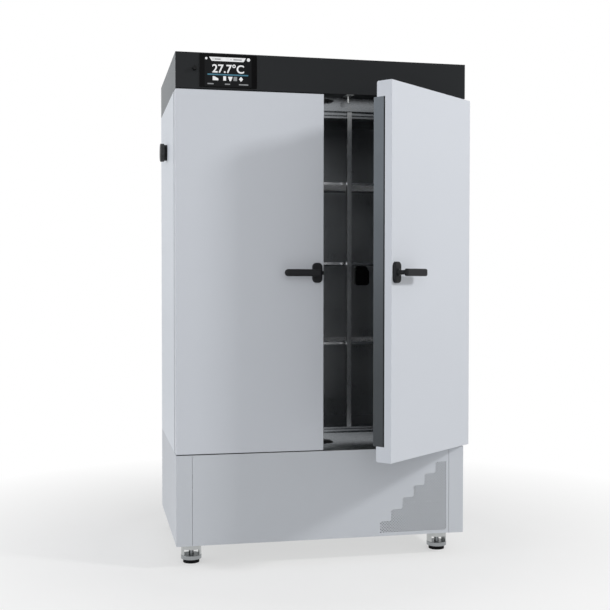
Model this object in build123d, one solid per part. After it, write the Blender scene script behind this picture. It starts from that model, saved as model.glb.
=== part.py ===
from build123d import *
import math
import os

# Environmental test chamber: an insulated two-door cabinet on a machine base.
# Millimetres. The origin is on the floor under the middle of the cabinet,
# +X is to the right as seen from the front, +Y goes to the back, +Z is up.

# Overall sizes
CABINET_WIDTH = 1010.0
CABINET_DEPTH = 662.0
FOOT_HEIGHT = 81.0
BASE_HEIGHT = 305.0
DOOR_GAP = 3.0
DOOR_HEIGHT = 1215.5
HOOD_HEIGHT = 118.5

# Sheets and walls
SHEET = 1.5
LINER_SHEET = 1.0
SIDE_WALL = 50.0
FLOOR_WALL = 45.0
CEILING_WALL = 54.0
CHAMBER_HEIGHT = 1145.0
CHAMBER_DEPTH = 466.0
THROAT_DEPTH = 33.0

# Front frame and the beaded ring inside its opening
FRAME_STILE = 60.0
FRAME_SILL = 49.5
FRAME_HEAD = 46.0
RING_BAND = 9.0
RING_GROOVE = 4.0
RING_BEAD = 6.8
RING_HEAD_EXTRA = 4.6
RING_FLOOR_DEPTH = 10.0
RING_BAND_DEPTH = 17.0
RING_BEAD_DEPTH = 23.0
RING_BEAD_ROUND = 2.0

# Doors
DOOR_THICKNESS = 57.0
SEAL_GAP = 19.0
MEETING_GAP = 4.0
DOOR_OPEN_ANGLE = 40.0
HINGE_INSET = 16.0
HINGE_SETBACK = 50.0
DOOR_LIP = 14.0
DOOR_FRONT_ROUND = 2.0
DOOR_BACK_ROUND = 6.0
PLUG_INSET = 50.0
PLUG_HINGE_INSET = 68.0
PLUG_START = 31.0
PLUG_STAND_OFF = 12.0
EDGE_SEAL_WIDTH = 5.0
EDGE_SEAL_DEPTH = 6.0
GASKET_WIDTH = 14.0
GASKET_OVERLAP = 0.5
GASKET_SIDE_OVERLAP = 7.5
GASKET_HEAD_CLEARANCE = 2.0
GASKET_CLEARANCE = 0.3

# Hinges
PIN_RADIUS = 4.0
PIN_LENGTH = 22.0
PIN_CLEARANCE = 0.05
BRACKET_THICKNESS = 2.2
BRACKET_HALF_WIDTH = 12.0
BRACKET_LEG_HEIGHT = 40.0
BRACKET_OVERHANG = 2.0
HINGE_BLOCK_HEIGHT = 30.0
HINGE_BLOCK_MARGIN = 12.0

# Handles, lock rods and their keepers
HANDLE_INSET = 23.4
HANDLE_HEIGHT = 608.0
ROSETTE_WIDTH = 34.0
ROSETTE_HEIGHT = 68.0
ROSETTE_THICKNESS = 12.0
ROSETTE_ROUND = 14.0
GRIP_REACH = 120.0
GRIP_OVERLAP = 12.0
GRIP_HEIGHT = 24.0
GRIP_THICKNESS = 14.0
GRIP_ROUND = 8.0
GRIP_EDGE_ROUND = 3.0
HANDLE_STAND_OFF = 50.0
NECK_RADIUS = 7.5
SPINDLE_RADIUS = 5.0
SPINDLE_DEPTH = 19.0
LOCK_ROD_WIDTH = 12.0
LOCK_ROD_THICKNESS = 4.0
LOCK_ROD_DEPTH = 21.0
LOCK_TRAVEL = 9.0
LOCK_PIN_RADIUS = 2.5
LOCK_HEAD_RADIUS = 4.5
LOCK_HEAD_LENGTH = 4.2
KEEPER_WIDTH = 94.0
KEEPER_HEIGHT = 13.4
KEEPER_DEPTH = 17.0
KEEPER_WALL = 5.0
KEEPER_TOP_DROP = 11.2
KEEPER_BOTTOM_RISE = 17.5
LOCK_REST_DROP = 11.4
FREE_PLAY = 0.5
BUTTON_LENGTH = 10.0
BUTTON_HEIGHT = 13.0
BUTTON_DEPTH = 7.0
BUTTON_STAND_OUT = 5.0
BUTTON_TRAVEL = 3.0

# Striker under the hood
STRIKER_X = 91.0
STRIKER_WIDTH = 28.0
STRIKER_DEPTH = 45.0
STRIKER_SETBACK = 8.0
STRIKER_THICKNESS = 2.0
PEG_RADIUS = 4.0
PEG_LENGTH = 22.0
PEG_SETBACK = 32.0
STRIKER_SLOT_WIDTH = 24.0
STRIKER_SLOT_DEPTH = 27.0

# Chamber furniture
POST_X = 109.5
POST_WIDTH = 15.6
POST_DEPTH = 20.0
POST_STAND_OUT = 4.0
SHELF_SPACING = 283.5
SHELF_MIDDLE = 645.0
SHELF_WIDTH = 840.0
SHELF_DEPTH = 330.0
SHELF_SETBACK = 130.0
SHELF_EDGE = 8.0
SHELF_SHEET = 1.2
SHELF_HOLE = 8.5
SHELF_PITCH = 20.0
SHELF_ROW_ANGLE = 60.0
SHELF_BORDER = 26.0
UPRIGHT_WIDTH = 20.0
UPRIGHT_DEPTH = 8.0
UPRIGHT_SETBACK = 161.0
UPRIGHT_SPACING = 290.0
UPRIGHT_END_GAP = 10.0
SLOT_PITCH = 50.0
SLOT_HEIGHT = 24.0
SLOT_WIDTH = 7.0
RUNNER_WIDTH = 42.0
RUNNER_LEG = 20.0
RUNNER_CLEARANCE = 0.2

# Air duct, fan, heater and cooler behind it
DUCT_SETBACK = 525.0
DUCT_SIDE_GAP = 20.0
DUCT_FLOOR_GAP = 74.0
DUCT_CEILING_GAP = 44.0
DUCT_SHEET = 1.2
FAN_HEIGHT = 1290.0
FAN_RADIUS = 78.0
FAN_MOUTH_RADIUS = 70.0
FAN_DEPTH = 34.0
FAN_GAP = 5.0
FAN_BLADES = 16
FAN_BLADE_SHEET = 1.5
FAN_BLADE_WIDTH = 31.0
FAN_SHAFT_RADIUS = 4.0
FAN_HUB_RADIUS = 14.0
GUARD_RINGS = 4
GUARD_BAR = 3.0
MOTOR_RADIUS = 40.0
MOTOR_LENGTH = 66.0
MOTOR_CLEARANCE = 2.0
HEATER_RADIUS = 4.0
HEATER_WIDTH = 420.0
HEATER_PASSES = 4
HEATER_PITCH = 40.0
HEATER_BOTTOM = 950.0
COOLER_WIDTH = 500.0
COOLER_HEIGHT = 220.0
COOLER_DEPTH = 36.0
COOLER_BOTTOM = 570.0
COOLER_TUBES = 5
FIN_SHEET = 1.0
FIN_PITCH = 12.5
PROBE_RADIUS = 3.0
PROBE_LENGTH = 90.0
PROBE_X = -150.0
PROBE_TOP = 1470.0

# Socket inside the chamber and its sprung lid
SOCKET_X = 267.0
SOCKET_HINGE_HEIGHT = 1020.0
SOCKET_WIDTH = 50.0
SOCKET_HEIGHT = 64.0
SOCKET_DEPTH = 26.0
SOCKET_TOP_WIDTH = 36.0
SOCKET_TOP_HEIGHT = 12.0
LID_WIDTH = 57.0
LID_HEIGHT = 68.0
LID_THICKNESS = 9.0
LID_ROUND = 12.0
LID_RIM = 7.0
LID_PANEL = 3.0
LID_GAP = 0.3
LID_PIN_RADIUS = 2.0
LID_KNUCKLE_RADIUS = 4.0
LID_KNUCKLE_LENGTH = 20.0

# Access port through the left wall
PORT_Y = 49.0
PORT_HEIGHT = 1438.0
PORT_TUBE_RADIUS = 25.0
PORT_BORE_RADIUS = 22.05
PORT_FLANGE_RADIUS = 29.0
PORT_FLANGE = 10.0
PORT_PLUG_CLEARANCE = 0.3
PORT_CAP_RADIUS = 33.0
PORT_CAP = 14.0
PORT_TUBE_REACH = 3.0

# Display and switch on the hood
DISPLAY_LEFT = 80.0
DISPLAY_WIDTH = 192.0
DISPLAY_HEIGHT = 109.3
DISPLAY_RISE = 5.0
DISPLAY_BODY_MARGIN = 5.0
DISPLAY_BEZEL = 3.0
DISPLAY_GLASS = 1.2
DISPLAY_RIM = 2.0
DISPLAY_BODY_DEPTH = 30.0
KNOB_LEFT = 63.5
KNOB_RISE = 65.5
KNOB_RADIUS = 7.0
KNOB_LENGTH = 16.0
KNOB_SHAFT_RADIUS = 3.0
KNOB_ROUND = 1.0
POINTER_WIDTH = 2.0
SWITCH_BODY = 24.0
SWITCH_DEPTH = 28.0
BOARD_WIDTH = 300.0
BOARD_DEPTH = 160.0
BOARD_SHEET = 1.6
BOARD_STAND_OFF = 14.0
BOARD_CORNER = 10.0
STAND_OFF_RADIUS = 3.0
TRANSFORMER_SIZE = (50.0, 60.0, 38.0)
TERMINAL_SIZE = (60.0, 16.0, 12.0)
RELAY_SIZE = (20.0, 28.0, 16.0)
RELAYS = 3
RELAY_PITCH = 29.0
CAPACITOR_RADIUS = 9.0
CAPACITOR_HEIGHT = 26.0
COMPONENT_SHIFT = 50.0

# Machine base
BASE_POST = 53.0
PANEL_GAP = 1.0
VENT_HOLE = 2.25
VENT_PITCH = 10.0
VENT_BLOCK = 40.3
VENT_BLOCKS = 6
VENT_RIGHT_INSET = 62.0
VENT_BOTTOM_INSET = 12.0
LOUVRE_WIDTH = 300.0
LOUVRE_HEIGHT = 7.0
LOUVRE_PITCH = 18.0
LOUVRES = 12
LOUVRE_LEFT_X = -60.0
LOUVRE_RIGHT_X = 270.0
COMPRESSOR_X = -210.0
COMPRESSOR_Y = 110.0
COMPRESSOR_RADIUS = 84.0
COMPRESSOR_HEIGHT = 175.0
COMPRESSOR_DOME = 30.0
COMPRESSOR_PLATE = 3.0
TERMINAL_BOX = 60.0
TERMINAL_BOX_REACH = 30.0
GROMMET_RADIUS = 14.0
GROMMET_HEIGHT = 12.0
CONDENSER_X = 320.0
CONDENSER_SETBACK = 34.0
CONDENSER_WIDTH = 250.0
CONDENSER_HEIGHT = 235.0
CONDENSER_DEPTH = 50.0
CONDENSER_TUBE = 5.0
CONDENSER_TUBES = 6
SHROUD_DEPTH = 40.0
SHROUD_HOLE = 98.0
COOLING_FAN_RADIUS = 90.0
COOLING_FAN_DEPTH = 18.0
COOLING_FAN_BLADES = 5
COOLING_BLADE_WIDTH = 36.0
COOLING_BLADE_PITCH = 20.0
COOLING_HUB_RADIUS = 26.0
COOLING_MOTOR_RADIUS = 34.0
COOLING_MOTOR_LENGTH = 46.0
STRUT_WIDTH = 14.0
STRUT_THICKNESS = 3.0
SUCTION_RADIUS = 6.0
LIQUID_RADIUS = 4.0
PIPE_CHASE = 44.0
TRAY_WIDTH = 300.0
TRAY_DEPTH = 170.0
TRAY_HEIGHT = 42.0
TRAY_WALL = 2.0
TRAY_X = 270.0
TRAY_Y = 215.0
DRAIN_RADIUS = 8.0
DRAIN_BORE = 6.0
DRAIN_CLEAR = 8.0
INLET_X = -380.0
INLET_WIDTH = 50.0
INLET_HEIGHT = 60.0
INLET_DEPTH = 40.0
INLET_RISE = 60.0
INLET_FLANGE = 4.0
INLET_BORDER = 5.0
INLET_WELL_WIDTH = 26.0
INLET_WELL_HEIGHT = 24.0
BLADE_WIDTH = 2.0
BLADE_HEIGHT = 6.0
BLADE_SPACING = 7.0
BLADE_STEP = 4.0

# Levelling feet
FOOT_INSET = 60.0
FRONT_FOOT_SETBACK = 110.0
SOCKET_CUP_RADIUS = 35.0
SOCKET_CUP_HEIGHT = 54.0
SOCKET_SKIRT_HEIGHT = 21.0
SOCKET_SKIRT_WALL = 4.0
WINDOW_WIDTH = 52.0
STUD_RADIUS = 8.0
STUD_CLEARANCE = 0.05
STUD_REACH = 44.0
FOOT_RING_RADIUS = 35.5
FOOT_RING_HEIGHT = 13.0
FOOT_RING_ROUND = 1.0
PAD_RADIUS = 28.0
PAD_HEIGHT = 13.5

# Screws
SCREW_HEAD_RADIUS = 4.0
SCREW_HEAD_HEIGHT = 2.2

# Places that follow from the sizes
right = CABINET_WIDTH / 2
front = -CABINET_DEPTH / 2
back = CABINET_DEPTH / 2
base_bottom = FOOT_HEIGHT
base_top = base_bottom + BASE_HEIGHT
door_bottom = base_top + DOOR_GAP
door_top = door_bottom + DOOR_HEIGHT
hood_bottom = door_top + DOOR_GAP
hood_top = hood_bottom + HOOD_HEIGHT
inner_right = right - SHEET
inner_back = back - SHEET
frame_face = front + DOOR_THICKNESS + SEAL_GAP
frame_back = frame_face + SHEET
chamber_front = frame_face + THROAT_DEPTH
chamber_back = chamber_front + CHAMBER_DEPTH
chamber_side = right - SIDE_WALL
chamber_floor = base_top + FLOOR_WALL
chamber_ceiling = chamber_floor + CHAMBER_HEIGHT
deck_bottom = chamber_ceiling + CEILING_WALL
opening_side = right - FRAME_STILE
opening_low = base_top + FRAME_SILL
opening_high = hood_bottom - FRAME_HEAD
ring_width = RING_BAND + RING_GROOVE + RING_BEAD
ring_front = chamber_front - RING_BEAD_DEPTH
lip_low = opening_low + ring_width
lip_high = opening_high - ring_width - RING_HEAD_EXTRA
duct_front = front + DUCT_SETBACK
duct_back = duct_front + DUCT_SHEET
tray_top = base_bottom + SHEET
deck_top = deck_bottom + SHEET

# Places on the right door while it is shut
door_back = front + DOOR_THICKNESS
door_free = MEETING_GAP / 2
door_hinge_x = right - HINGE_INSET
door_hinge_y = front + HINGE_SETBACK
plug_front = front + PLUG_START
plug_back = door_back + PLUG_STAND_OFF
plug_low = door_bottom + PLUG_INSET
plug_high = door_top - PLUG_INSET
plug_hinge_side = right - PLUG_HINGE_INSET
handle_x = door_free + HANDLE_INSET
handle_z = door_bottom + HANDLE_HEIGHT
rosette_front = front - ROSETTE_THICKNESS
keeper_top = hood_bottom - KEEPER_TOP_DROP - DOOR_GAP
keeper_bottom = door_bottom + KEEPER_BOTTOM_RISE
lock_rod_back = front + LOCK_ROD_DEPTH + LOCK_ROD_THICKNESS
keeper_front = frame_face - KEEPER_DEPTH
hinge_axis = Axis((door_hinge_x, door_hinge_y, 0), (0, 0, 1))


def slab(x, y, z):
    """A block between the two values given for each axis."""
    spans = [sorted(pair) for pair in (x, y, z)]
    middle = [(low + high) / 2 for low, high in spans]
    return Pos(*middle) * Box(*[high - low for low, high in spans])


def both(half):
    """The span from minus half to half."""
    return (-half, half)


def about(middle, size):
    """The span of a size about its middle."""
    return (middle - size / 2, middle + size / 2)


def rod(radius, start, end):
    """A round bar between two points."""
    way = Vector(*end) - Vector(*start)
    return extrude(Plane(start, z_dir=way) * Circle(radius), way.length)


def plate_xz(sketch, y, thickness):
    """A sketch drawn in X and Z, as a plate from y back to y + thickness."""
    return extrude(Plane.XZ.offset(-y - thickness) * sketch, thickness)


def mirrored(shape):
    """The same shape on the other side of the cabinet's middle plane."""
    return mirror(shape, about=Plane.YZ)


def opened(shape):
    """A piece of the right door, turned from shut to where it stands at rest."""
    return shape.rotate(hinge_axis, DOOR_OPEN_ANGLE)


def save(name, *shapes):
    """One STEP file for one sub-part, holding each of its solids."""
    solids = [solid for shape in shapes for solid in shape.solids()]
    body = solids[0] if len(solids) == 1 else Compound(solids)
    export_step(body, os.path.join("parts", name + ".step"))
    print(name, len(solids), round(sum(solid.volume for solid in solids)))


def perforated(width, height, thickness, centres, radius):
    """A flat plate in X and Y from its middle, with a round hole at each centre."""
    outline = Rectangle(width, height).face().outer_wire()
    holes = [Wire.make_circle(radius, Plane((x, y, 0))) for x, y in centres]
    return Solid.extrude(Face(outline, holes), Vector(0, 0, thickness))


def pipe(radius, points, bend):
    """A bent pipe: straight runs joined by arcs."""
    path = FilletPolyline(*points, radius=bend)
    way = Vector(*points[1]) - Vector(*points[0])
    return sweep(Plane(points[0], z_dir=way) * Circle(radius), path=path)


# Casing

def outer_casing():
    """Two side sheets and the deck above the chamber."""
    side = slab((inner_right, right), (frame_face, back), (base_top, hood_bottom))
    port = rod(PORT_TUBE_RADIUS, (-right, PORT_Y, PORT_HEIGHT), (0, PORT_Y, PORT_HEIGHT))
    deck = slab(both(inner_right), (frame_face, inner_back), (deck_bottom, deck_top))
    return side, mirrored(side) - port, deck


def back_panel():
    return slab(both(inner_right), (inner_back, back), (base_top, hood_top - SHEET))


def hood():
    """Front, cheeks and soffit of the dark hood, folded from one sheet."""
    height = (hood_bottom, hood_top)
    outer = slab(both(right), (front, back), height)
    outer = fillet(outer.edges().filter_by(Axis.Z).group_by(Axis.Y)[0], SHEET)
    shell = outer - slab(both(inner_right), (front + SHEET, back), height)
    shell += slab(both(inner_right), (front + SHEET, frame_face), (hood_bottom, hood_bottom + SHEET))
    shell -= display_block(DISPLAY_BODY_MARGIN, front - SHEET, SHEET * 4)
    x, z = knob_place()
    return shell - rod(KNOB_SHAFT_RADIUS + FREE_PLAY, (x, front, z), (x, front + SHEET * 2, z))


def top_cover():
    return slab(both(inner_right), (front + SHEET, back), (hood_top - SHEET, hood_top))


def chamber_liner():
    """Stainless tub with a rim round its mouth."""
    wall = LINER_SHEET
    outer = slab(both(chamber_side + wall), (chamber_front, chamber_back + wall),
                 (chamber_floor - wall, chamber_ceiling + wall))
    inner = slab(both(chamber_side), (chamber_front + wall, chamber_back), (chamber_floor, chamber_ceiling))
    mouth = slab(both(opening_side), (chamber_front, chamber_front + wall), (opening_low, opening_high))
    return outer - inner - mouth - wall_passages()


def wall_passages():
    """Round ways through the chamber's walls: port, fan shaft, drain and pipes."""
    port = rod(PORT_TUBE_RADIUS, (-right, PORT_Y, PORT_HEIGHT), (-right / 2, PORT_Y, PORT_HEIGHT))
    shaft_hole = FAN_SHAFT_RADIUS + MOTOR_CLEARANCE
    shaft = rod(shaft_hole, (0, chamber_back, FAN_HEIGHT), (0, chamber_back + LINER_SHEET, FAN_HEIGHT))
    drain = rod(DRAIN_RADIUS, (TRAY_X, TRAY_Y, base_bottom), (TRAY_X, TRAY_Y, chamber_floor))
    pipes = [rod(radius + FREE_PLAY, (x, chamber_back, z), (x, inner_back - SHEET, z))
             for radius, x, z in pipe_passages()]
    return [port, shaft, drain] + pipes


def cooler_tube_height(i):
    """Height of a tube of the cooler, counted up from 0."""
    return COOLER_BOTTOM + COOLER_HEIGHT / COOLER_TUBES * (i + 0.5)


def pipe_passages():
    """Radius, X and height where each refrigerant pipe goes through the back wall."""
    x = -COOLER_WIDTH / 2 - PIPE_CHASE
    suction = (SUCTION_RADIUS, x + PIPE_CHASE / 4, cooler_tube_height(2))
    liquid = (LIQUID_RADIUS, x - PIPE_CHASE / 4, cooler_tube_height(0))
    return suction, liquid


def insulation():
    """Foam slabs between the casing and the liner: left, right, top, bottom and back."""
    liner_side = chamber_side + LINER_SHEET
    liner_low = chamber_floor - LINER_SHEET
    liner_high = chamber_ceiling + LINER_SHEET
    liner_back = chamber_back + LINER_SHEET
    throat_side = opening_side + SHEET
    throat_depth = (frame_back, chamber_front)
    throat = slab(both(throat_side), throat_depth, (opening_low - SHEET, opening_high + SHEET))
    tub = slab(both(liner_side), (chamber_front, liner_back), (liner_low, liner_high))
    whole_depth = (frame_back, inner_back)
    whole_height = (base_top, deck_bottom)
    right_slab = slab((liner_side, inner_right), whole_depth, whole_height)
    right_slab += slab((throat_side, inner_right), throat_depth, whole_height)
    top_slab = slab(both(liner_side), whole_depth, (liner_high, deck_bottom))
    top_slab += slab(both(throat_side), throat_depth, (opening_high + SHEET, deck_bottom))
    bottom_slab = slab(both(liner_side), whole_depth, (base_top, liner_low))
    back_slab = slab(both(liner_side), (liner_back, inner_back), (liner_low, liner_high))
    top_slab -= right_slab
    top_slab -= mirrored(right_slab)
    bottom_slab += slab(both(throat_side), throat_depth, (base_top, opening_low - SHEET))
    bottom_slab -= right_slab
    bottom_slab -= mirrored(right_slab)
    chase = pipe_chase()
    motor = rod(MOTOR_RADIUS + MOTOR_CLEARANCE, (0, liner_back, FAN_HEIGHT), (0, inner_back, FAN_HEIGHT))
    slabs = [right_slab, mirrored(right_slab) - wall_passages(), top_slab,
             bottom_slab - wall_passages() - chase, back_slab - wall_passages() - chase - motor]
    return [piece - throat - tub for piece in slabs]


def pipe_chase():
    """Upright way for the refrigerant pipes through the back and bottom foam."""
    x = -COOLER_WIDTH / 2 - PIPE_CHASE
    top = cooler_tube_height(2) + PIPE_CHASE / 2
    return slab(about(x, PIPE_CHASE), (inner_back - PIPE_CHASE, inner_back), (base_top - SHEET * 2, top))


def front_frame():
    """Stainless face round the opening, with a return into the throat."""
    face = slab(both(inner_right), (frame_face, frame_back), (base_top, hood_bottom))
    tube = slab(both(opening_side + SHEET), (frame_back, chamber_front),
                (opening_low - SHEET, opening_high + SHEET))
    opening = slab(both(opening_side), (frame_face, chamber_front), (opening_low, opening_high))
    return face + tube - opening


def ring_block(inset, head_extra, depth):
    """A block over the throat, drawn in from the opening and a little more at its head."""
    return slab(both(opening_side - inset), (chamber_front - depth, chamber_front),
                (opening_low + inset, opening_high - inset - head_extra))


def throat_ring():
    """Ring in the throat: a flat band outside, then a groove, then a rounded bead round the mouth."""
    head = RING_HEAD_EXTRA
    groove_start = ring_block(RING_BAND, head / 2, RING_BEAD_DEPTH)
    bead = ring_block(RING_BAND + RING_GROOVE, head / 2, RING_BEAD_DEPTH)
    mouth = ring_block(ring_width, head, RING_BEAD_DEPTH)
    bead -= mouth
    bead = fillet(bead.faces().sort_by(Axis.Y)[0].edges(), RING_BEAD_ROUND)
    band = ring_block(0, 0, RING_BAND_DEPTH) - groove_start
    floor = ring_block(0, 0, RING_FLOOR_DEPTH) - mouth
    return floor + band + bead


def support_post():
    """Upright post on the sill ring, with a tongue that reaches the head of the frame."""
    post_front = ring_front - POST_STAND_OUT
    width = about(POST_X, POST_WIDTH)
    bar = slab(width, (post_front, post_front + POST_DEPTH), (lip_low, lip_high))
    return bar + slab(width, (post_front, ring_front), (lip_high, opening_high))


# Hinges, keepers and striker on the cabinet

def hinge_brackets():
    """Four brackets, each with its pin: two on the base, two under the hood."""
    x = (door_hinge_x - BRACKET_HALF_WIDTH - BRACKET_OVERHANG, door_hinge_x + BRACKET_HALF_WIDTH)
    leg_x = (x[0], x[1] - 2 * BRACKET_OVERHANG)
    y = (door_hinge_y - BRACKET_HALF_WIDTH, frame_face)
    leg_y = (frame_face - BRACKET_THICKNESS, frame_face)
    low_plate = (base_top, base_top + BRACKET_THICKNESS)
    high_plate = (hood_bottom - BRACKET_THICKNESS, hood_bottom)
    lower = slab(x, y, low_plate)
    lower += slab(leg_x, leg_y, (base_top, base_top + BRACKET_LEG_HEIGHT))
    lower += rod(PIN_RADIUS, (door_hinge_x, door_hinge_y, base_top),
                 (door_hinge_x, door_hinge_y, door_bottom + PIN_LENGTH))
    upper = slab(x, y, high_plate)
    upper += slab(leg_x, leg_y, (hood_bottom - BRACKET_LEG_HEIGHT, hood_bottom))
    upper += rod(PIN_RADIUS, (door_hinge_x, door_hinge_y, door_top - PIN_LENGTH),
                 (door_hinge_x, door_hinge_y, hood_bottom))
    return lower, upper, mirrored(lower), mirrored(upper)


def lock_keepers():
    """Oval blocks on the frame's middle, with a T slot for each door's lock head."""
    blocks = []
    for height in (keeper_bottom, keeper_top):
        oval = Pos(0, height) * Ellipse(KEEPER_WIDTH / 2, KEEPER_HEIGHT / 2)
        block = plate_xz(oval, keeper_front, KEEPER_DEPTH)
        locked = height - LOCK_REST_DROP + LOCK_TRAVEL
        below = height - KEEPER_HEIGHT
        for x in (handle_x, -handle_x):
            neck = LOCK_PIN_RADIUS + FREE_PLAY
            head = LOCK_HEAD_RADIUS + FREE_PLAY
            mouth = (keeper_front, keeper_front + KEEPER_WALL)
            room = (keeper_front + KEEPER_WALL, keeper_front + KEEPER_WALL + LOCK_HEAD_LENGTH + 2 * FREE_PLAY)
            block -= slab(about(x, 2 * neck), mouth, (below, locked + neck))
            block -= slab(about(x, 2 * head), room, (below, locked + head))
        blocks.append(block)
    return blocks


def striker_bracket():
    """Plate under the hood with a peg that the right door's top slot receives."""
    plate_y = (front + STRIKER_SETBACK, front + STRIKER_SETBACK + STRIKER_DEPTH)
    plate = slab(about(STRIKER_X, STRIKER_WIDTH), plate_y, (hood_bottom - STRIKER_THICKNESS, hood_bottom))
    peg_y = front + PEG_SETBACK
    return plate + rod(PEG_RADIUS, (STRIKER_X, peg_y, hood_bottom - STRIKER_THICKNESS),
                       (STRIKER_X, peg_y, hood_bottom - STRIKER_THICKNESS - PEG_LENGTH))


def striker_slot():
    """Room in the top of the right door for the striker's peg."""
    depth = (front + PEG_SETBACK - PEG_RADIUS * 2, frame_face)
    return slab(about(STRIKER_X, STRIKER_SLOT_WIDTH), depth, (door_top - STRIKER_SLOT_DEPTH, hood_bottom))


# Doors, modelled shut and on the right; the left door is the mirror image

def door_blank():
    """Outside of a door: a box with small front edges and rounder back corners."""
    blank = slab((door_free, right), (front, door_back), (door_bottom, door_top))
    faces = blank.faces().sort_by(Axis.Y)
    blank = fillet(faces[-1].edges().filter_by(Axis.X), DOOR_BACK_ROUND)
    return fillet(blank.faces().sort_by(Axis.Y)[0].edges(), DOOR_FRONT_ROUND)


def door_cavity():
    """Inside of the door's sheet-metal pan."""
    return slab((door_free + SHEET, inner_right), (front + SHEET, door_back - SHEET),
                (door_bottom + SHEET, door_top - SHEET))


def plug_block(wall):
    """The plug on the back of a door, drawn in by its wall."""
    return slab((door_free + wall, plug_hinge_side - wall), (plug_front, plug_back - wall),
                (plug_low + wall, plug_high - wall))


def edge_seal_block():
    """Seal strip between the pan's short flange and the plug, down the free edge."""
    return slab((door_free, door_free + EDGE_SEAL_DEPTH), (plug_front - EDGE_SEAL_WIDTH, plug_front),
                (plug_low, plug_high))


def hinge_block(top):
    """Steel block welded inside the pan, over the hinge pin."""
    z_end = door_top - SHEET if top else door_bottom + SHEET
    z_span = (z_end - HINGE_BLOCK_HEIGHT, z_end) if top else (z_end, z_end + HINGE_BLOCK_HEIGHT)
    return slab((door_hinge_x - HINGE_BLOCK_MARGIN, inner_right),
                (door_hinge_y - HINGE_BLOCK_MARGIN, door_back - SHEET), z_span)


def pin_bores():
    """Running-fit bores for the two hinge pins of a door."""
    radius = PIN_RADIUS + PIN_CLEARANCE
    reach = PIN_LENGTH + FREE_PLAY
    place = (door_hinge_x, door_hinge_y)
    return [rod(radius, (*place, door_bottom), (*place, door_bottom + reach)),
            rod(radius, (*place, door_top), (*place, door_top - reach))]


def lock_slots():
    """Ways for the lock rod and its two heads inside a door."""
    low_rest = keeper_bottom - LOCK_REST_DROP
    high_rest = keeper_top - LOCK_REST_DROP
    play = FREE_PLAY + LOCK_PIN_RADIUS
    rod_y = (front + LOCK_ROD_DEPTH - FREE_PLAY, lock_rod_back + FREE_PLAY)
    cuts = [slab(about(handle_x, LOCK_ROD_WIDTH + 2 * FREE_PLAY), rod_y,
                 (low_rest - LOCK_ROD_WIDTH / 2, high_rest + LOCK_TRAVEL + LOCK_ROD_WIDTH / 2))]
    for rest in (low_rest, high_rest):
        cuts.append(slab(about(handle_x, 2 * play), (lock_rod_back, door_back),
                         (rest - play, rest + LOCK_TRAVEL + play)))
    return cuts


def door_shell():
    """Powder-coated pan: deep flanges, short along the middle of the free edge."""
    lip_x = (door_free + DOOR_LIP, right - DOOR_LIP)
    window = slab(lip_x, (door_back - SHEET, door_back), (door_bottom + DOOR_LIP, door_top - DOOR_LIP))
    notch = slab((door_free, door_free + DOOR_LIP), (plug_front - EDGE_SEAL_WIDTH, door_back),
                 (plug_low, plug_high))
    shell = door_blank() - door_cavity() - window - notch
    shell += hinge_block(True)
    shell += hinge_block(False)
    spindle = rod(NECK_RADIUS, (handle_x, front, handle_z), (handle_x, front + SHEET, handle_z))
    return shell - pin_bores() - lock_slots()[1:] - spindle


def door_foam():
    """Foam that fills the pan and the plug."""
    foam = door_cavity() - plug_block(0)
    foam += plug_block(LINER_SHEET) + slab((door_free + LINER_SHEET, plug_hinge_side - LINER_SHEET),
                                           (plug_front, plug_front + LINER_SHEET),
                                           (plug_low + LINER_SHEET, plug_high - LINER_SHEET))
    foam = foam - edge_seal_block() - hinge_block(True) - hinge_block(False)
    spindle = rod(NECK_RADIUS, (handle_x, front, handle_z), (handle_x, lock_rod_back, handle_z))
    foam = foam - lock_slots() - spindle
    return foam & door_core()


def door_core():
    """The pan's inside, and the plug's inside behind it."""
    plug = slab((door_free + LINER_SHEET, plug_hinge_side - LINER_SHEET), (plug_front, plug_back),
                (plug_low + LINER_SHEET, plug_high - LINER_SHEET))
    return door_cavity() + plug


def door_liner():
    """Polished stainless plug with a flat rim that fills the pan's window."""
    rim = slab((door_free + DOOR_LIP, right - DOOR_LIP), (door_back - SHEET, door_back),
               (door_bottom + DOOR_LIP, door_top - DOOR_LIP))
    return rim + plug_block(0) - plug_block(LINER_SHEET) - lock_slots()[1:]


def door_gasket():
    """Seal round three sides of the plug, and the strip down the free edge."""
    y = (door_back, frame_face - GASKET_CLEARANCE)
    low = (opening_low - GASKET_OVERLAP - GASKET_WIDTH, opening_low - GASKET_OVERLAP)
    high = (opening_high + GASKET_OVERLAP, opening_high + GASKET_OVERLAP + GASKET_WIDTH)
    side = (opening_side + GASKET_SIDE_OVERLAP, opening_side + GASKET_SIDE_OVERLAP + GASKET_WIDTH)
    start = handle_x + LOCK_HEAD_RADIUS + GASKET_HEAD_CLEARANCE
    seal = slab((start, side[1]), y, low)
    seal += slab((start, side[1]), y, high)
    seal += slab(side, y, (low[0], high[1]))
    return seal, edge_seal_block()


def rosette():
    """Oblong plate under the lever, with a bearing bore for its neck."""
    outline = Pos(handle_x, handle_z) * RectangleRounded(ROSETTE_WIDTH, ROSETTE_HEIGHT, ROSETTE_ROUND)
    plate = plate_xz(outline, rosette_front, ROSETTE_THICKNESS)
    plate = fillet(plate.faces().sort_by(Axis.Y)[0].edges(), GRIP_EDGE_ROUND)
    bore = rod(NECK_RADIUS + PIN_CLEARANCE, (handle_x, rosette_front, handle_z), (handle_x, front, handle_z))
    return plate - bore


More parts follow.
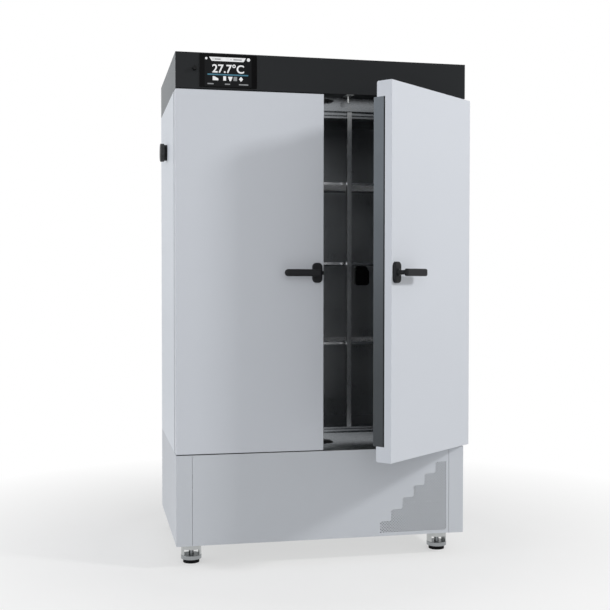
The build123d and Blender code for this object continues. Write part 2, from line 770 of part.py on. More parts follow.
def lever():
    """Grip, neck and spindle in one piece; the grip points away from the free edge."""
    grip_front = front - HANDLE_STAND_OFF
    grip_back = grip_front + GRIP_THICKNESS
    length = GRIP_REACH + GRIP_OVERLAP
    middle = handle_x - GRIP_OVERLAP + length / 2
    outline = Pos(middle, handle_z) * RectangleRounded(length, GRIP_HEIGHT, GRIP_ROUND)
    grip = plate_xz(outline, grip_front, GRIP_THICKNESS)
    ends = grip.faces().sort_by(Axis.Y)
    grip = fillet(ends[0].edges() + ends[-1].edges(), GRIP_EDGE_ROUND)
    neck = rod(NECK_RADIUS, (handle_x, grip_back, handle_z), (handle_x, front, handle_z))
    spindle = rod(SPINDLE_RADIUS, (handle_x, front, handle_z), (handle_x, front + SPINDLE_DEPTH, handle_z))
    return grip + neck + spindle


def lock_rod():
    """Flat rail inside the door, with a headed pin welded near each end."""
    low_rest = keeper_bottom - LOCK_REST_DROP
    high_rest = keeper_top - LOCK_REST_DROP
    rail = slab(about(handle_x, LOCK_ROD_WIDTH), (front + LOCK_ROD_DEPTH, lock_rod_back),
                (door_bottom + SHEET + FREE_PLAY, high_rest + LOCK_ROD_WIDTH / 2 - FREE_PLAY))
    head_start = keeper_front + KEEPER_WALL + FREE_PLAY
    pieces = [rail]
    for height in (low_rest, high_rest):
        pin = rod(LOCK_PIN_RADIUS, (handle_x, lock_rod_back, height), (handle_x, head_start, height))
        pieces.append(pin + rod(LOCK_HEAD_RADIUS, (handle_x, head_start, height),
                                (handle_x, head_start + LOCK_HEAD_LENGTH, height)))
    return pieces


def button_block(play, travel):
    """The lock button of the left handle, grown by its play and its travel."""
    tip = -handle_x + ROSETTE_WIDTH / 2 + BUTTON_STAND_OUT
    inner_end = tip - BUTTON_LENGTH - travel
    middle = front - ROSETTE_THICKNESS / 2
    return slab((inner_end - play, tip + play), about(middle, BUTTON_DEPTH + 2 * play),
                about(handle_z, BUTTON_HEIGHT + 2 * play))


# Inside the chamber

def shelf_top_height(level):
    """Height of a shelf's upper face: level -1 is the lowest, 1 the highest."""
    return base_top + SHELF_MIDDLE + SHELF_EDGE / 2 + level * SHELF_SPACING


def shelf(level):
    """Perforated tray with a folded edge."""
    top = shelf_top_height(level)
    y_front = front + SHELF_SETBACK
    middle_y = y_front + SHELF_DEPTH / 2
    across = SHELF_WIDTH - 2 * SHELF_BORDER
    along = SHELF_DEPTH - 2 * SHELF_BORDER
    row_step = SHELF_PITCH * math.sin(math.radians(SHELF_ROW_ANGLE))
    rows = int(along / row_step) + 1
    centres = []
    for row in range(rows):
        shift = SHELF_PITCH / 2 * (row % 2)
        count = int((across - shift) / SHELF_PITCH) + 1
        centres += [(-across / 2 + shift + i * SHELF_PITCH, -along / 2 + row * row_step)
                    for i in range(count)]
    sheet = Pos(0, middle_y, top - SHELF_SHEET) * perforated(SHELF_WIDTH, SHELF_DEPTH, SHELF_SHEET,
                                                              centres, SHELF_HOLE)
    depth = (y_front, y_front + SHELF_DEPTH)
    rim = slab(both(SHELF_WIDTH / 2), depth, (top - SHELF_EDGE, top - SHELF_SHEET))
    rim -= slab(both(SHELF_WIDTH / 2 - SHELF_SHEET), (depth[0] + SHELF_SHEET, depth[1] - SHELF_SHEET),
                (top - SHELF_EDGE, top - SHELF_SHEET))
    return sheet + rim


def shelf_supports():
    """Four slotted uprights on the side walls and a runner on each side of each shelf."""
    pieces = []
    inner = chamber_side - UPRIGHT_DEPTH
    first = front + UPRIGHT_SETBACK
    span = (chamber_floor + UPRIGHT_END_GAP, chamber_ceiling - UPRIGHT_END_GAP)
    for y in (first, first + UPRIGHT_SPACING):
        upright = slab((inner, chamber_side), about(y, UPRIGHT_WIDTH), span)
        count = int((span[1] - span[0] - SLOT_PITCH) / SLOT_PITCH)
        slots = [slab((inner, inner + UPRIGHT_DEPTH / 2), about(y, SLOT_WIDTH),
                      about(span[0] + SLOT_PITCH * (i + 1), SLOT_HEIGHT)) for i in range(count)]
        upright -= slots
        pieces += [upright, mirrored(upright)]
    y_span = (front + SHELF_SETBACK + SHELF_EDGE, front + SHELF_SETBACK + SHELF_DEPTH)
    for level in (-1, 0, 1):
        top = shelf_top_height(level) - SHELF_EDGE - RUNNER_CLEARANCE
        runner = slab((inner - RUNNER_WIDTH, inner), y_span, (top - SHELF_SHEET, top))
        runner += slab((inner - SHELF_SHEET, inner), y_span, (top - SHELF_SHEET, top + RUNNER_LEG))
        pieces += [runner, mirrored(runner)]
    return pieces


def duct_panel():
    """Sheet in front of the fan and cooler, with side flanges and a guarded fan mouth."""
    half = chamber_side - DUCT_SIDE_GAP
    height = (chamber_floor + DUCT_FLOOR_GAP, chamber_ceiling - DUCT_CEILING_GAP)
    panel = slab(both(half), (duct_front, duct_back), height)
    panel -= rod(FAN_MOUTH_RADIUS, (0, duct_front, FAN_HEIGHT), (0, duct_back, FAN_HEIGHT))
    flange = slab((half - DUCT_SHEET, half), (duct_back, chamber_back), height)
    panel = panel + flange + mirrored(flange)
    spacing = FAN_MOUTH_RADIUS / GUARD_RINGS
    for ring in range(1, GUARD_RINGS):
        outline = Circle(ring * spacing + GUARD_BAR / 2) - Circle(ring * spacing - GUARD_BAR / 2)
        panel += plate_xz(Pos(0, FAN_HEIGHT) * outline, duct_front, DUCT_SHEET)
    reach = FAN_MOUTH_RADIUS + GUARD_BAR
    panel += slab(both(reach), (duct_front, duct_back), about(FAN_HEIGHT, GUARD_BAR))
    panel += slab(both(GUARD_BAR / 2), (duct_front, duct_back), about(FAN_HEIGHT, 2 * reach))
    return panel


def circulation_fan():
    """Wheel with radial blades between a back plate and a front ring, on its shaft."""
    y_front = duct_back + FAN_GAP
    y_back = y_front + FAN_DEPTH
    middle = (0, y_front, FAN_HEIGHT)
    end = (0, y_back, FAN_HEIGHT)
    plate_end = (0, y_back - FAN_BLADE_SHEET, FAN_HEIGHT)
    wheel = rod(FAN_RADIUS, plate_end, end) + rod(FAN_HUB_RADIUS, middle, end)
    ring = Circle(FAN_RADIUS) - Circle(FAN_MOUTH_RADIUS - SHELF_EDGE)
    wheel += plate_xz(Pos(0, FAN_HEIGHT) * ring, y_front, FAN_BLADE_SHEET)
    blade_x = (FAN_RADIUS - FAN_BLADE_WIDTH, FAN_RADIUS - SHEET)
    blade = slab(blade_x, (y_front, y_back), about(FAN_HEIGHT, FAN_BLADE_SHEET))
    axis = Axis((0, 0, FAN_HEIGHT), (0, 1, 0))
    for i in range(FAN_BLADES):
        wheel += blade.rotate(axis, 360 / FAN_BLADES * i)
    shaft_end = chamber_back + MOTOR_LENGTH / 2
    return wheel + rod(FAN_SHAFT_RADIUS, end, (0, shaft_end, FAN_HEIGHT))


def fan_motor():
    """Motor in the back wall, with a bore that the fan's shaft runs in."""
    start = chamber_back + LINER_SHEET
    motor = rod(MOTOR_RADIUS, (0, start, FAN_HEIGHT), (0, start + MOTOR_LENGTH, FAN_HEIGHT))
    bore_end = chamber_back + MOTOR_LENGTH / 2 + FREE_PLAY
    return motor - rod(FAN_SHAFT_RADIUS + PIN_CLEARANCE, (0, start, FAN_HEIGHT), (0, bore_end, FAN_HEIGHT))


def heater():
    """Tubular heater in flat passes, on two feet against the liner."""
    y = duct_back + FAN_GAP + FAN_DEPTH / 2
    half = HEATER_WIDTH / 2
    points = []
    for i in range(HEATER_PASSES):
        ends = (-half, half) if i % 2 == 0 else (half, -half)
        points += [(x, y, HEATER_BOTTOM + i * HEATER_PITCH) for x in ends]
    element = pipe(HEATER_RADIUS, points, HEATER_PITCH / 2 - FREE_PLAY)
    top = HEATER_BOTTOM + (HEATER_PASSES - 1) * HEATER_PITCH
    foot_z = (HEATER_BOTTOM - HEATER_RADIUS, top + HEATER_RADIUS)
    foot = slab(about(half / 2, SHELF_EDGE), (y, chamber_back), foot_z)
    return element + foot + mirrored(foot)


def finned_block(middle, size, tubes):
    """Fins and the tubes brazed through them, centred in X and Y, standing at z."""
    x, y, z = middle
    width, depth, height = size
    count = int(width / FIN_PITCH) + 1
    pitch = (width - FIN_SHEET) / (count - 1)
    first = x - width / 2 + FIN_SHEET / 2
    fins = [slab(about(first + i * pitch, FIN_SHEET), about(y, depth), (z, z + height)) for i in range(count)]
    pipes = []
    for i in range(tubes):
        tube_z = z + height / tubes * (i + 0.5)
        pipes.append(rod(CONDENSER_TUBE, (x - width / 2, y, tube_z), (x + width / 2, y, tube_z)))
    block = fins[0]
    return block + fins[1:] + pipes


def cooler():
    """Evaporator between the duct panel and the liner, hung on two side plates."""
    y = duct_back + FAN_GAP + COOLER_DEPTH / 2
    size = (COOLER_WIDTH, COOLER_DEPTH, COOLER_HEIGHT)
    block = finned_block((0, y, COOLER_BOTTOM), size, COOLER_TUBES)
    half = COOLER_WIDTH / 2
    plate = slab((half - FIN_SHEET, half), (y, chamber_back), (COOLER_BOTTOM, COOLER_BOTTOM + COOLER_HEIGHT))
    return block + plate + mirrored(plate)


def temperature_probe():
    """Rod sensor in a clip on the duct panel."""
    y = duct_front - PROBE_RADIUS * 3
    stem = rod(PROBE_RADIUS, (PROBE_X, y, PROBE_TOP), (PROBE_X, y, PROBE_TOP - PROBE_LENGTH))
    clip = slab(about(PROBE_X, PROBE_RADIUS * 4), (y - PROBE_RADIUS * 2, duct_front),
                about(PROBE_TOP - PROBE_LENGTH / 3, SHELF_EDGE))
    return stem + clip


def socket_places():
    """Front face of the socket's body and the line of its lid's hinge."""
    body_front = duct_front - SOCKET_DEPTH
    hinge_y = body_front - LID_GAP - LID_KNUCKLE_RADIUS
    return body_front, hinge_y


def inner_socket():
    """Socket body on the duct panel, with a top housing and two ears for the lid's pin."""
    body_front, hinge_y = socket_places()
    body = slab(about(SOCKET_X, SOCKET_WIDTH), (body_front, duct_front),
                (SOCKET_HINGE_HEIGHT - SOCKET_HEIGHT, SOCKET_HINGE_HEIGHT + LID_KNUCKLE_RADIUS))
    body = fillet(body.edges().filter_by(Axis.Y), LID_RIM)
    body += slab(about(SOCKET_X, SOCKET_TOP_WIDTH), (body_front, duct_front),
                 (SOCKET_HINGE_HEIGHT, SOCKET_HINGE_HEIGHT + SOCKET_TOP_HEIGHT))
    ear_start = LID_KNUCKLE_LENGTH / 2 + FREE_PLAY
    ear_end = SOCKET_WIDTH / 2 - LID_RIM
    ear = slab((ear_start, ear_end), (hinge_y, body_front),
               (SOCKET_HINGE_HEIGHT - LID_KNUCKLE_RADIUS, SOCKET_HINGE_HEIGHT + LID_KNUCKLE_RADIUS))
    ear += rod(LID_KNUCKLE_RADIUS, (ear_start, hinge_y, SOCKET_HINGE_HEIGHT),
               (ear_end, hinge_y, SOCKET_HINGE_HEIGHT))
    ears = Pos(SOCKET_X, 0, 0) * ear
    ears += Pos(SOCKET_X, 0, 0) * mirrored(ear)
    pin_hole = rod(LID_PIN_RADIUS + PIN_CLEARANCE, (SOCKET_X - SOCKET_WIDTH, hinge_y, SOCKET_HINGE_HEIGHT),
                   (SOCKET_X + SOCKET_WIDTH, hinge_y, SOCKET_HINGE_HEIGHT))
    well = rod(SOCKET_WIDTH / 2 - LID_RIM, (SOCKET_X, body_front, SOCKET_HINGE_HEIGHT - SOCKET_HEIGHT / 2),
               (SOCKET_X, body_front + SOCKET_DEPTH / 2, SOCKET_HINGE_HEIGHT - SOCKET_HEIGHT / 2))
    return body + ears - pin_hole - well


def socket_lid():
    """Lid with a raised rim, a knuckle and its pin."""
    body_front, hinge_y = socket_places()
    lid_back = body_front - LID_GAP
    lid_front = lid_back - LID_THICKNESS
    lid_top = SOCKET_HINGE_HEIGHT - LID_KNUCKLE_RADIUS - FREE_PLAY
    lid_bottom = SOCKET_HINGE_HEIGHT - LID_HEIGHT
    middle = (lid_top + lid_bottom) / 2
    tall = lid_top - lid_bottom
    outline = Pos(SOCKET_X, middle) * RectangleRounded(LID_WIDTH, tall, LID_ROUND)
    dish = Pos(SOCKET_X, middle) * RectangleRounded(LID_WIDTH - 2 * LID_RIM, tall - 2 * LID_RIM,
                                                   LID_ROUND - LID_RIM)
    lid = plate_xz(outline, lid_front, LID_THICKNESS)
    lid -= plate_xz(dish, lid_front, LID_THICKNESS - LID_PANEL)
    half = LID_KNUCKLE_LENGTH / 2
    knuckle = rod(LID_KNUCKLE_RADIUS, (SOCKET_X - half, hinge_y, SOCKET_HINGE_HEIGHT),
                  (SOCKET_X + half, hinge_y, SOCKET_HINGE_HEIGHT))
    tab = slab(about(SOCKET_X, LID_KNUCKLE_LENGTH), about(hinge_y, LID_KNUCKLE_RADIUS * 2),
               (lid_top - LID_PANEL, SOCKET_HINGE_HEIGHT))
    pin_half = SOCKET_WIDTH / 2 - LID_RIM
    pin = rod(LID_PIN_RADIUS, (SOCKET_X - pin_half, hinge_y, SOCKET_HINGE_HEIGHT),
              (SOCKET_X + pin_half, hinge_y, SOCKET_HINGE_HEIGHT))
    return lid + tab + knuckle + pin


# Access port

def port_sleeve():
    """Flanged tube through the left wall."""
    outer_end = -right - PORT_FLANGE
    inner_end = -chamber_side + PORT_TUBE_REACH
    place = (PORT_Y, PORT_HEIGHT)
    sleeve = rod(PORT_FLANGE_RADIUS, (outer_end, *place), (-right, *place))
    sleeve += rod(PORT_TUBE_RADIUS, (-right, *place), (inner_end, *place))
    return sleeve - rod(PORT_BORE_RADIUS, (outer_end, *place), (inner_end, *place))


def port_plug():
    """Soft plug with a wide cap."""
    cap_back = -right - PORT_FLANGE - PORT_PLUG_CLEARANCE
    place = (PORT_Y, PORT_HEIGHT)
    neck = rod(PORT_BORE_RADIUS - PORT_PLUG_CLEARANCE, (cap_back, *place), (-chamber_side, *place))
    cap = rod(PORT_CAP_RADIUS, (cap_back - PORT_CAP, *place), (cap_back, *place))
    cap = fillet(cap.edges().group_by(Axis.X)[0], GRIP_EDGE_ROUND)
    return cap + neck


# Hood fittings

def display_block(inset, y, depth):
    """A block over the display's outline, drawn in by an inset, from y back."""
    x_start = -right + DISPLAY_LEFT + inset
    z_start = hood_bottom + DISPLAY_RISE + inset
    return slab((x_start, x_start + DISPLAY_WIDTH - 2 * inset), (y, y + depth),
                (z_start, z_start + DISPLAY_HEIGHT - 2 * inset))


def display_unit():
    """Display housing through the hood's front, and the glass in its bezel."""
    bezel = display_block(0, front - DISPLAY_BEZEL, DISPLAY_BEZEL)
    bezel = fillet(bezel.edges().filter_by(Axis.Y), GRIP_EDGE_ROUND)
    body = display_block(DISPLAY_BODY_MARGIN + FREE_PLAY / 2, front, DISPLAY_BODY_DEPTH)
    glass = display_block(DISPLAY_RIM, front - DISPLAY_BEZEL, DISPLAY_GLASS)
    return bezel + body - glass, glass


def knob_place():
    """Middle of the power knob in X and Z."""
    return -right + KNOB_LEFT, hood_bottom + KNOB_RISE


def power_knob():
    """Small knob with a pointer rib, on its shaft."""
    x, z = knob_place()
    gap = front - FREE_PLAY
    knob = rod(KNOB_RADIUS, (x, front - KNOB_LENGTH, z), (x, gap, z))
    knob = fillet(knob.edges().group_by(Axis.Y)[0], KNOB_ROUND)
    rib_z = (z, z + KNOB_RADIUS - KNOB_ROUND)
    rib = slab(about(x, POINTER_WIDTH), about(front - KNOB_LENGTH, 2 * KNOB_ROUND), rib_z)
    shaft = rod(KNOB_SHAFT_RADIUS, (x, gap, z), (x, front + SHEET + SWITCH_DEPTH / 2, z))
    return knob + rib + shaft


def mains_switch_and_inlet():
    """Switch body behind the hood's front, and the power inlet at the back of the base."""
    x, z = knob_place()
    y = (front + SHEET, front + SHEET + SWITCH_DEPTH)
    switch = slab(about(x, SWITCH_BODY), y, about(z, SWITCH_BODY))
    bore_end = front + SHEET + SWITCH_DEPTH / 2 + FREE_PLAY
    switch -= rod(KNOB_SHAFT_RADIUS + PIN_CLEARANCE, (x, front, z), (x, bore_end, z))
    middle = inlet_middle()
    inlet = slab(about(INLET_X, INLET_WIDTH), (back, back + INLET_FLANGE), about(middle, INLET_HEIGHT))
    inlet += inlet_body(0)
    well_end = back - INLET_DEPTH / 2
    inlet -= slab(about(INLET_X, INLET_WELL_WIDTH), (well_end, back + INLET_FLANGE),
                  about(middle, INLET_WELL_HEIGHT))
    for step in (-1, 0, 1):
        rise = BLADE_STEP - abs(step) * 2 * BLADE_STEP
        inlet += slab(about(INLET_X + step * BLADE_SPACING, BLADE_WIDTH), (well_end, back - SHEET),
                      about(middle + rise, BLADE_HEIGHT))
    return switch, inlet


def inlet_middle():
    """Height of the middle of the power inlet."""
    return base_bottom + INLET_RISE + INLET_HEIGHT / 2


def inlet_body(play):
    """The part of the inlet that goes through the rear grille, grown by a play."""
    border = INLET_BORDER - play
    return slab(about(INLET_X, INLET_WIDTH - 2 * border), (back - INLET_DEPTH, back),
                about(inlet_middle(), INLET_HEIGHT - 2 * border))


def component(x, y, z, size):
    """A block-shaped component, centred in X and Y and standing on the board."""
    width, depth, height = size
    return slab(about(x, width), about(y, depth), (z, z + height))


def control_board():
    """Circuit board on stand-offs above the deck, with its larger components."""
    x = -right / 2
    y = front + BOARD_DEPTH
    z = deck_top + BOARD_STAND_OFF
    pieces = [slab(about(x, BOARD_WIDTH), about(y, BOARD_DEPTH), (z, z + BOARD_SHEET))]
    for shift_x in both(BOARD_WIDTH / 2 - BOARD_CORNER):
        for shift_y in both(BOARD_DEPTH / 2 - BOARD_CORNER):
            place = (x + shift_x, y + shift_y)
            pieces.append(rod(STAND_OFF_RADIUS, (*place, deck_top), (*place, z)))
    top = z + BOARD_SHEET
    pieces.append(component(x - 2 * COMPONENT_SHIFT, y, top, TRANSFORMER_SIZE))
    pieces.append(component(x + 2 * COMPONENT_SHIFT, y - COMPONENT_SHIFT, top, TERMINAL_SIZE))
    for i in range(RELAYS):
        place = (x + (i - 1) * RELAY_PITCH, y + COMPONENT_SHIFT, top)
        pieces.append(component(x + (i - 1) * RELAY_PITCH, y, top, RELAY_SIZE))
        pieces.append(rod(CAPACITOR_RADIUS, place, (*place[:2], top + CAPACITOR_HEIGHT)))
    return pieces


# Machine base

def base_side_panels():
    """Side sheets of the base, folded round its front and back corners."""
    height = (base_bottom, base_top)
    side = slab((inner_right, right), (front, back), height)
    side += slab((right - BASE_POST, right), (front, front + SHEET), height)
    side += slab((right - BASE_POST, right), (inner_back, back), height)
    return side, mirrored(side)


def foot_places():
    """Middle of each foot in X and Y, with its name."""
    x = right - FOOT_INSET
    y_front = front + FRONT_FOOT_SETBACK
    y_back = back - FOOT_INSET
    return {"front_left": (-x, y_front), "front_right": (x, y_front),
            "rear_left": (-x, y_back), "rear_right": (x, y_back)}


def base_plates():
    """Deck under the chamber, the bottom tray and its four foot sockets."""
    inner = (front + SHEET, inner_back)
    deck = slab(both(inner_right), inner, (base_top - SHEET, base_top))
    deck = deck - pipe_chase() - rod(DRAIN_RADIUS, (TRAY_X, TRAY_Y, base_bottom), (TRAY_X, TRAY_Y, base_top))
    tray = slab(both(inner_right), inner, (base_bottom, tray_top))
    places = foot_places().values()
    bores = [rod(STUD_RADIUS + STUD_CLEARANCE, (x, y, base_bottom - SOCKET_CUP_HEIGHT), (x, y, tray_top))
             for x, y in places]
    sockets = [foot_socket(*place) - bore for place, bore in zip(places, bores)]
    return [deck, tray - bores] + sockets


def foot_socket(x, y):
    """Round cup with a skirt that has a window at the front and one at the back."""
    cup_bottom = base_bottom - SOCKET_CUP_HEIGHT
    skirt_top = cup_bottom + SOCKET_SKIRT_HEIGHT
    cup = rod(SOCKET_CUP_RADIUS, (x, y, cup_bottom), (x, y, base_bottom))
    cup -= rod(SOCKET_CUP_RADIUS - SOCKET_SKIRT_WALL, (x, y, cup_bottom), (x, y, skirt_top))
    window = slab(about(x, WINDOW_WIDTH), about(y, 3 * SOCKET_CUP_RADIUS), (cup_bottom, skirt_top))
    return cup - window


def levelling_foot(x, y):
    """Foot: threaded stud, metal ring and rubber pad."""
    ring_top = PAD_HEIGHT + FOOT_RING_HEIGHT
    ring = rod(FOOT_RING_RADIUS, (x, y, PAD_HEIGHT), (x, y, ring_top))
    ring = fillet(ring.edges().group_by(Axis.Z)[-1], FOOT_RING_ROUND)
    stud = rod(STUD_RADIUS, (x, y, ring_top), (x, y, ring_top + STUD_REACH))
    pad = rod(PAD_RADIUS, (x, y, 0), (x, y, PAD_HEIGHT))
    return ring + stud, pad


def base_front_panel():
    """Removable panel with a stepped triangle of ventilation holes."""
    half = right - BASE_POST - PANEL_GAP
    width = 2 * half
    height = BASE_HEIGHT - PANEL_GAP
    low = base_bottom + PANEL_GAP / 2
    right_edge = right - VENT_RIGHT_INSET
    bottom_edge = base_bottom + VENT_BOTTOM_INSET
    middle_z = low + height / 2
    per_side = int(VENT_BLOCK / VENT_PITCH)
    centres = []
    for column in range(VENT_BLOCKS):
        for row in range(VENT_BLOCKS - column):
            x_start = right_edge - (column + 1) * VENT_BLOCK
            z_start = bottom_edge + row * VENT_BLOCK
            for i in range(per_side):
                for j in range(2 * per_side):
                    shift = VENT_PITCH / 2 * (j % 2)
                    x = x_start + VENT_HOLE + shift + i * VENT_PITCH
                    z = z_start + VENT_HOLE + j * VENT_PITCH / 2
                    centres.append((x, z - middle_z))
    plate = perforated(width, height, SHEET, centres, VENT_HOLE)
    return Plane.XZ.offset(-front - SHEET) * Pos(0, middle_z, 0) * plate


def rear_grille():
    """Rear cover of the machine base, with rows of louvre slots."""
    half = right - BASE_POST - PANEL_GAP
    z_span = (base_bottom + PANEL_GAP / 2, base_top - PANEL_GAP / 2)
    panel = slab(both(half), (inner_back, back), z_span)
    first = base_bottom + BASE_POST
    slots = []
    for i in range(LOUVRES):
        for x in (LOUVRE_LEFT_X, LOUVRE_RIGHT_X):
            slots.append(slab(about(x, LOUVRE_WIDTH), (inner_back, back),
                              about(first + i * LOUVRE_PITCH, LOUVRE_HEIGHT)))
    return panel - slots - inlet_body(FREE_PLAY)


def compressor():
    """Hermetic compressor with its foot plate and terminal box, on four grommets."""
    x, y = COMPRESSOR_X, COMPRESSOR_Y
    plate_low = tray_top + GROMMET_HEIGHT
    plate_high = plate_low + COMPRESSOR_PLATE
    pot = rod(COMPRESSOR_RADIUS, (x, y, plate_high), (x, y, plate_high + COMPRESSOR_HEIGHT))
    pot = fillet(pot.edges().group_by(Axis.Z)[-1], COMPRESSOR_DOME)
    half = COMPRESSOR_RADIUS + GROMMET_RADIUS
    pot += slab(about(x, 2 * half), about(y, 2 * half), (plate_low, plate_high))
    box_x = (x - COMPRESSOR_RADIUS - TERMINAL_BOX_REACH, x - COMPRESSOR_RADIUS / 2)
    pot += slab(box_x, about(y, TERMINAL_BOX), about(plate_high + COMPRESSOR_HEIGHT / 2, TERMINAL_BOX))
    pieces = [pot]
    reach = half - GROMMET_RADIUS
    for side_x in (-1, 1):
        for side_y in (-1, 1):
            place = (x + side_x * reach, y + side_y * reach)
            pieces.append(rod(GROMMET_RADIUS, (*place, tray_top), (*place, plate_low)))
    return pieces


def condenser_places():
    """Y of the condenser's front and back, and the height of its middle."""
    y_front = front + CONDENSER_SETBACK
    return y_front, y_front + CONDENSER_DEPTH, tray_top + CONDENSER_HEIGHT / 2


def condenser():
    y_front, y_back, _ = condenser_places()
    return finned_block((CONDENSER_X, (y_front + y_back) / 2, tray_top),
                        (CONDENSER_WIDTH, CONDENSER_DEPTH, CONDENSER_HEIGHT), CONDENSER_TUBES)


def condenser_fan_housing():
    """Shroud behind the condenser, with a motor on two struts."""
    _, start, z = condenser_places()
    end = start + SHROUD_DEPTH
    x_span = about(CONDENSER_X, CONDENSER_WIDTH)
    shroud = slab(x_span, (start, end), (tray_top, tray_top + CONDENSER_HEIGHT))
    shroud -= slab(about(CONDENSER_X, CONDENSER_WIDTH - 2 * SHEET), (start, end - SHEET),
                   (tray_top + SHEET, tray_top + CONDENSER_HEIGHT - SHEET))
    shroud -= rod(SHROUD_HOLE, (CONDENSER_X, start, z), (CONDENSER_X, end, z))
    motor_start = end + STRUT_THICKNESS
    strut_z = about(z, 2 * SHROUD_HOLE + STRUT_WIDTH)
    for shift in both(COOLING_MOTOR_RADIUS / 2):
        shroud += slab(about(CONDENSER_X + shift, STRUT_WIDTH), (end, motor_start), strut_z)
    shroud += rod(COOLING_MOTOR_RADIUS, (CONDENSER_X, motor_start, z),
                  (CONDENSER_X, motor_start + COOLING_MOTOR_LENGTH, z))
    return shroud - rod(FAN_SHAFT_RADIUS + PIN_CLEARANCE, (CONDENSER_X, start, z),
                        (CONDENSER_X, motor_start + COOLING_MOTOR_LENGTH / 2 + FREE_PLAY, z))


def condenser_fan():
    """Axial fan: hub, pitched blades and shaft."""
    _, start, z = condenser_places()
    end = start + SHROUD_DEPTH - SHEET - FREE_PLAY
    middle = end - COOLING_FAN_DEPTH / 2
    hub = rod(COOLING_HUB_RADIUS, (CONDENSER_X, end - COOLING_FAN_DEPTH, z), (CONDENSER_X, end, z))
    axis = Axis((CONDENSER_X, 0, z), (0, 1, 0))
    inner = COOLING_HUB_RADIUS - FIN_PITCH / 2
    blade = Box(COOLING_FAN_RADIUS - inner, SHEET, COOLING_BLADE_WIDTH)
    blade = Rot(COOLING_BLADE_PITCH, 0, 0) * blade
    blade = Pos(CONDENSER_X + (COOLING_FAN_RADIUS + inner) / 2, middle, z) * blade
    for i in range(COOLING_FAN_BLADES):
        hub += blade.rotate(axis, 360 / COOLING_FAN_BLADES * i)
    shaft_end = start + SHROUD_DEPTH + STRUT_THICKNESS + COOLING_MOTOR_LENGTH / 2
    return hub + rod(FAN_SHAFT_RADIUS, (CONDENSER_X, end, z), (CONDENSER_X, shaft_end, z))


def refrigerant_pipes():
    """Suction and liquid lines up to the cooler, and the discharge line to the condenser."""
    (_, suction_x, suction_z), (_, liquid_x, liquid_z) = pipe_passages()
    y_chase = inner_back - PIPE_CHASE / 2
    y_cooler = duct_back + FAN_GAP + COOLER_DEPTH / 2
    cooler_side = -COOLER_WIDTH / 2
    head = tray_top + GROMMET_HEIGHT + COMPRESSOR_PLATE + COMPRESSOR_HEIGHT
    lane_z = head + COMPRESSOR_DOME
    port_step = COMPRESSOR_RADIUS / 3
    y_suction = COMPRESSOR_Y + port_step
    suction = [(COMPRESSOR_X, y_suction, head), (COMPRESSOR_X, y_suction, lane_z),
               (COMPRESSOR_X, y_chase, lane_z), (suction_x, y_chase, lane_z), (suction_x, y_chase, suction_z),
               (suction_x, y_cooler, suction_z), (cooler_side, y_cooler, suction_z)]
    y_front, y_back, _ = condenser_places()
    y = (y_front + y_back) / 2
    side = CONDENSER_X - CONDENSER_WIDTH / 2
    tube_step = CONDENSER_HEIGHT / (2 * CONDENSER_TUBES)
    low = tray_top + tube_step
    high = tray_top + CONDENSER_HEIGHT - tube_step
    lane_x = TRAY_X - TRAY_WIDTH / 2 - PIPE_CHASE / 2
    liquid = [(side, y, low), (lane_x, y, low), (lane_x, y_chase, low), (liquid_x, y_chase, low),
              (liquid_x, y_chase, liquid_z), (liquid_x, y_cooler, liquid_z),
              (cooler_side, y_cooler, liquid_z)]
    y_discharge = COMPRESSOR_Y - port_step
    discharge = [(COMPRESSOR_X, y_discharge, head), (COMPRESSOR_X, y_discharge, high),
                 (COMPRESSOR_X, y, high), (side, y, high)]
    bend = SUCTION_RADIUS * 2
    return [pipe(SUCTION_RADIUS, suction, bend), pipe(LIQUID_RADIUS, liquid, bend),
            pipe(LIQUID_RADIUS, discharge, bend)]


def condensate_drain():
    """Pan under the chamber's drain, and the drain tube."""
    pan = slab(about(TRAY_X, TRAY_WIDTH), about(TRAY_Y, TRAY_DEPTH), (tray_top, tray_top + TRAY_HEIGHT))
    pan -= slab(about(TRAY_X, TRAY_WIDTH - 2 * TRAY_WALL), about(TRAY_Y, TRAY_DEPTH - 2 * TRAY_WALL),
                (tray_top + TRAY_WALL, tray_top + TRAY_HEIGHT))
    low = tray_top + TRAY_WALL + DRAIN_CLEAR
    tube = rod(DRAIN_RADIUS, (TRAY_X, TRAY_Y, low), (TRAY_X, TRAY_Y, chamber_floor))
    return pan, tube - rod(DRAIN_BORE, (TRAY_X, TRAY_Y, low), (TRAY_X, TRAY_Y, chamber_floor))


def panel_screws():
    """Heads of the screws that hold the back panel, the rear grille and the duct panel."""
    heads = []
    inset = SCREW_HEAD_RADIUS * 2
    height = SCREW_HEAD_HEIGHT

    def head(x, y, z):
        heads.append(rod(SCREW_HEAD_RADIUS, (x, y, z), (x, y + height, z)))

    rows = 5
    reach = hood_bottom - base_top - 2 * inset
    for i in range(rows):
        z = base_top + inset + reach * i / (rows - 1)
        for x in both(inner_right - inset):
            head(x, back, z)
    for z in (base_bottom + inset, base_top - inset):
        for x in (-right + BASE_POST + inset * 2, 0, right - BASE_POST - inset * 2):
            head(x, back, z)
    low = chamber_floor + DUCT_FLOOR_GAP + inset
    high = chamber_ceiling - DUCT_CEILING_GAP - inset
    for i in range(4):
        z = low + (high - low) * i / 3
        for x in both(chamber_side - DUCT_SIDE_GAP - inset):
            head(x, duct_front - height, z)
    return heads


os.makedirs("parts", exist_ok=True)

save("outer_casing", *outer_casing())
save("back_panel", back_panel())
save("hood", hood())
save("top_cover", top_cover())
save("chamber_liner", chamber_liner())
save("insulation", *insulation())
save("front_frame", front_frame())
save("throat_ring", throat_ring())
save("support_post", support_post())
save("hinge_brackets", *hinge_brackets())
save("lock_keepers", *lock_keepers())
save("striker_bracket", striker_bracket())

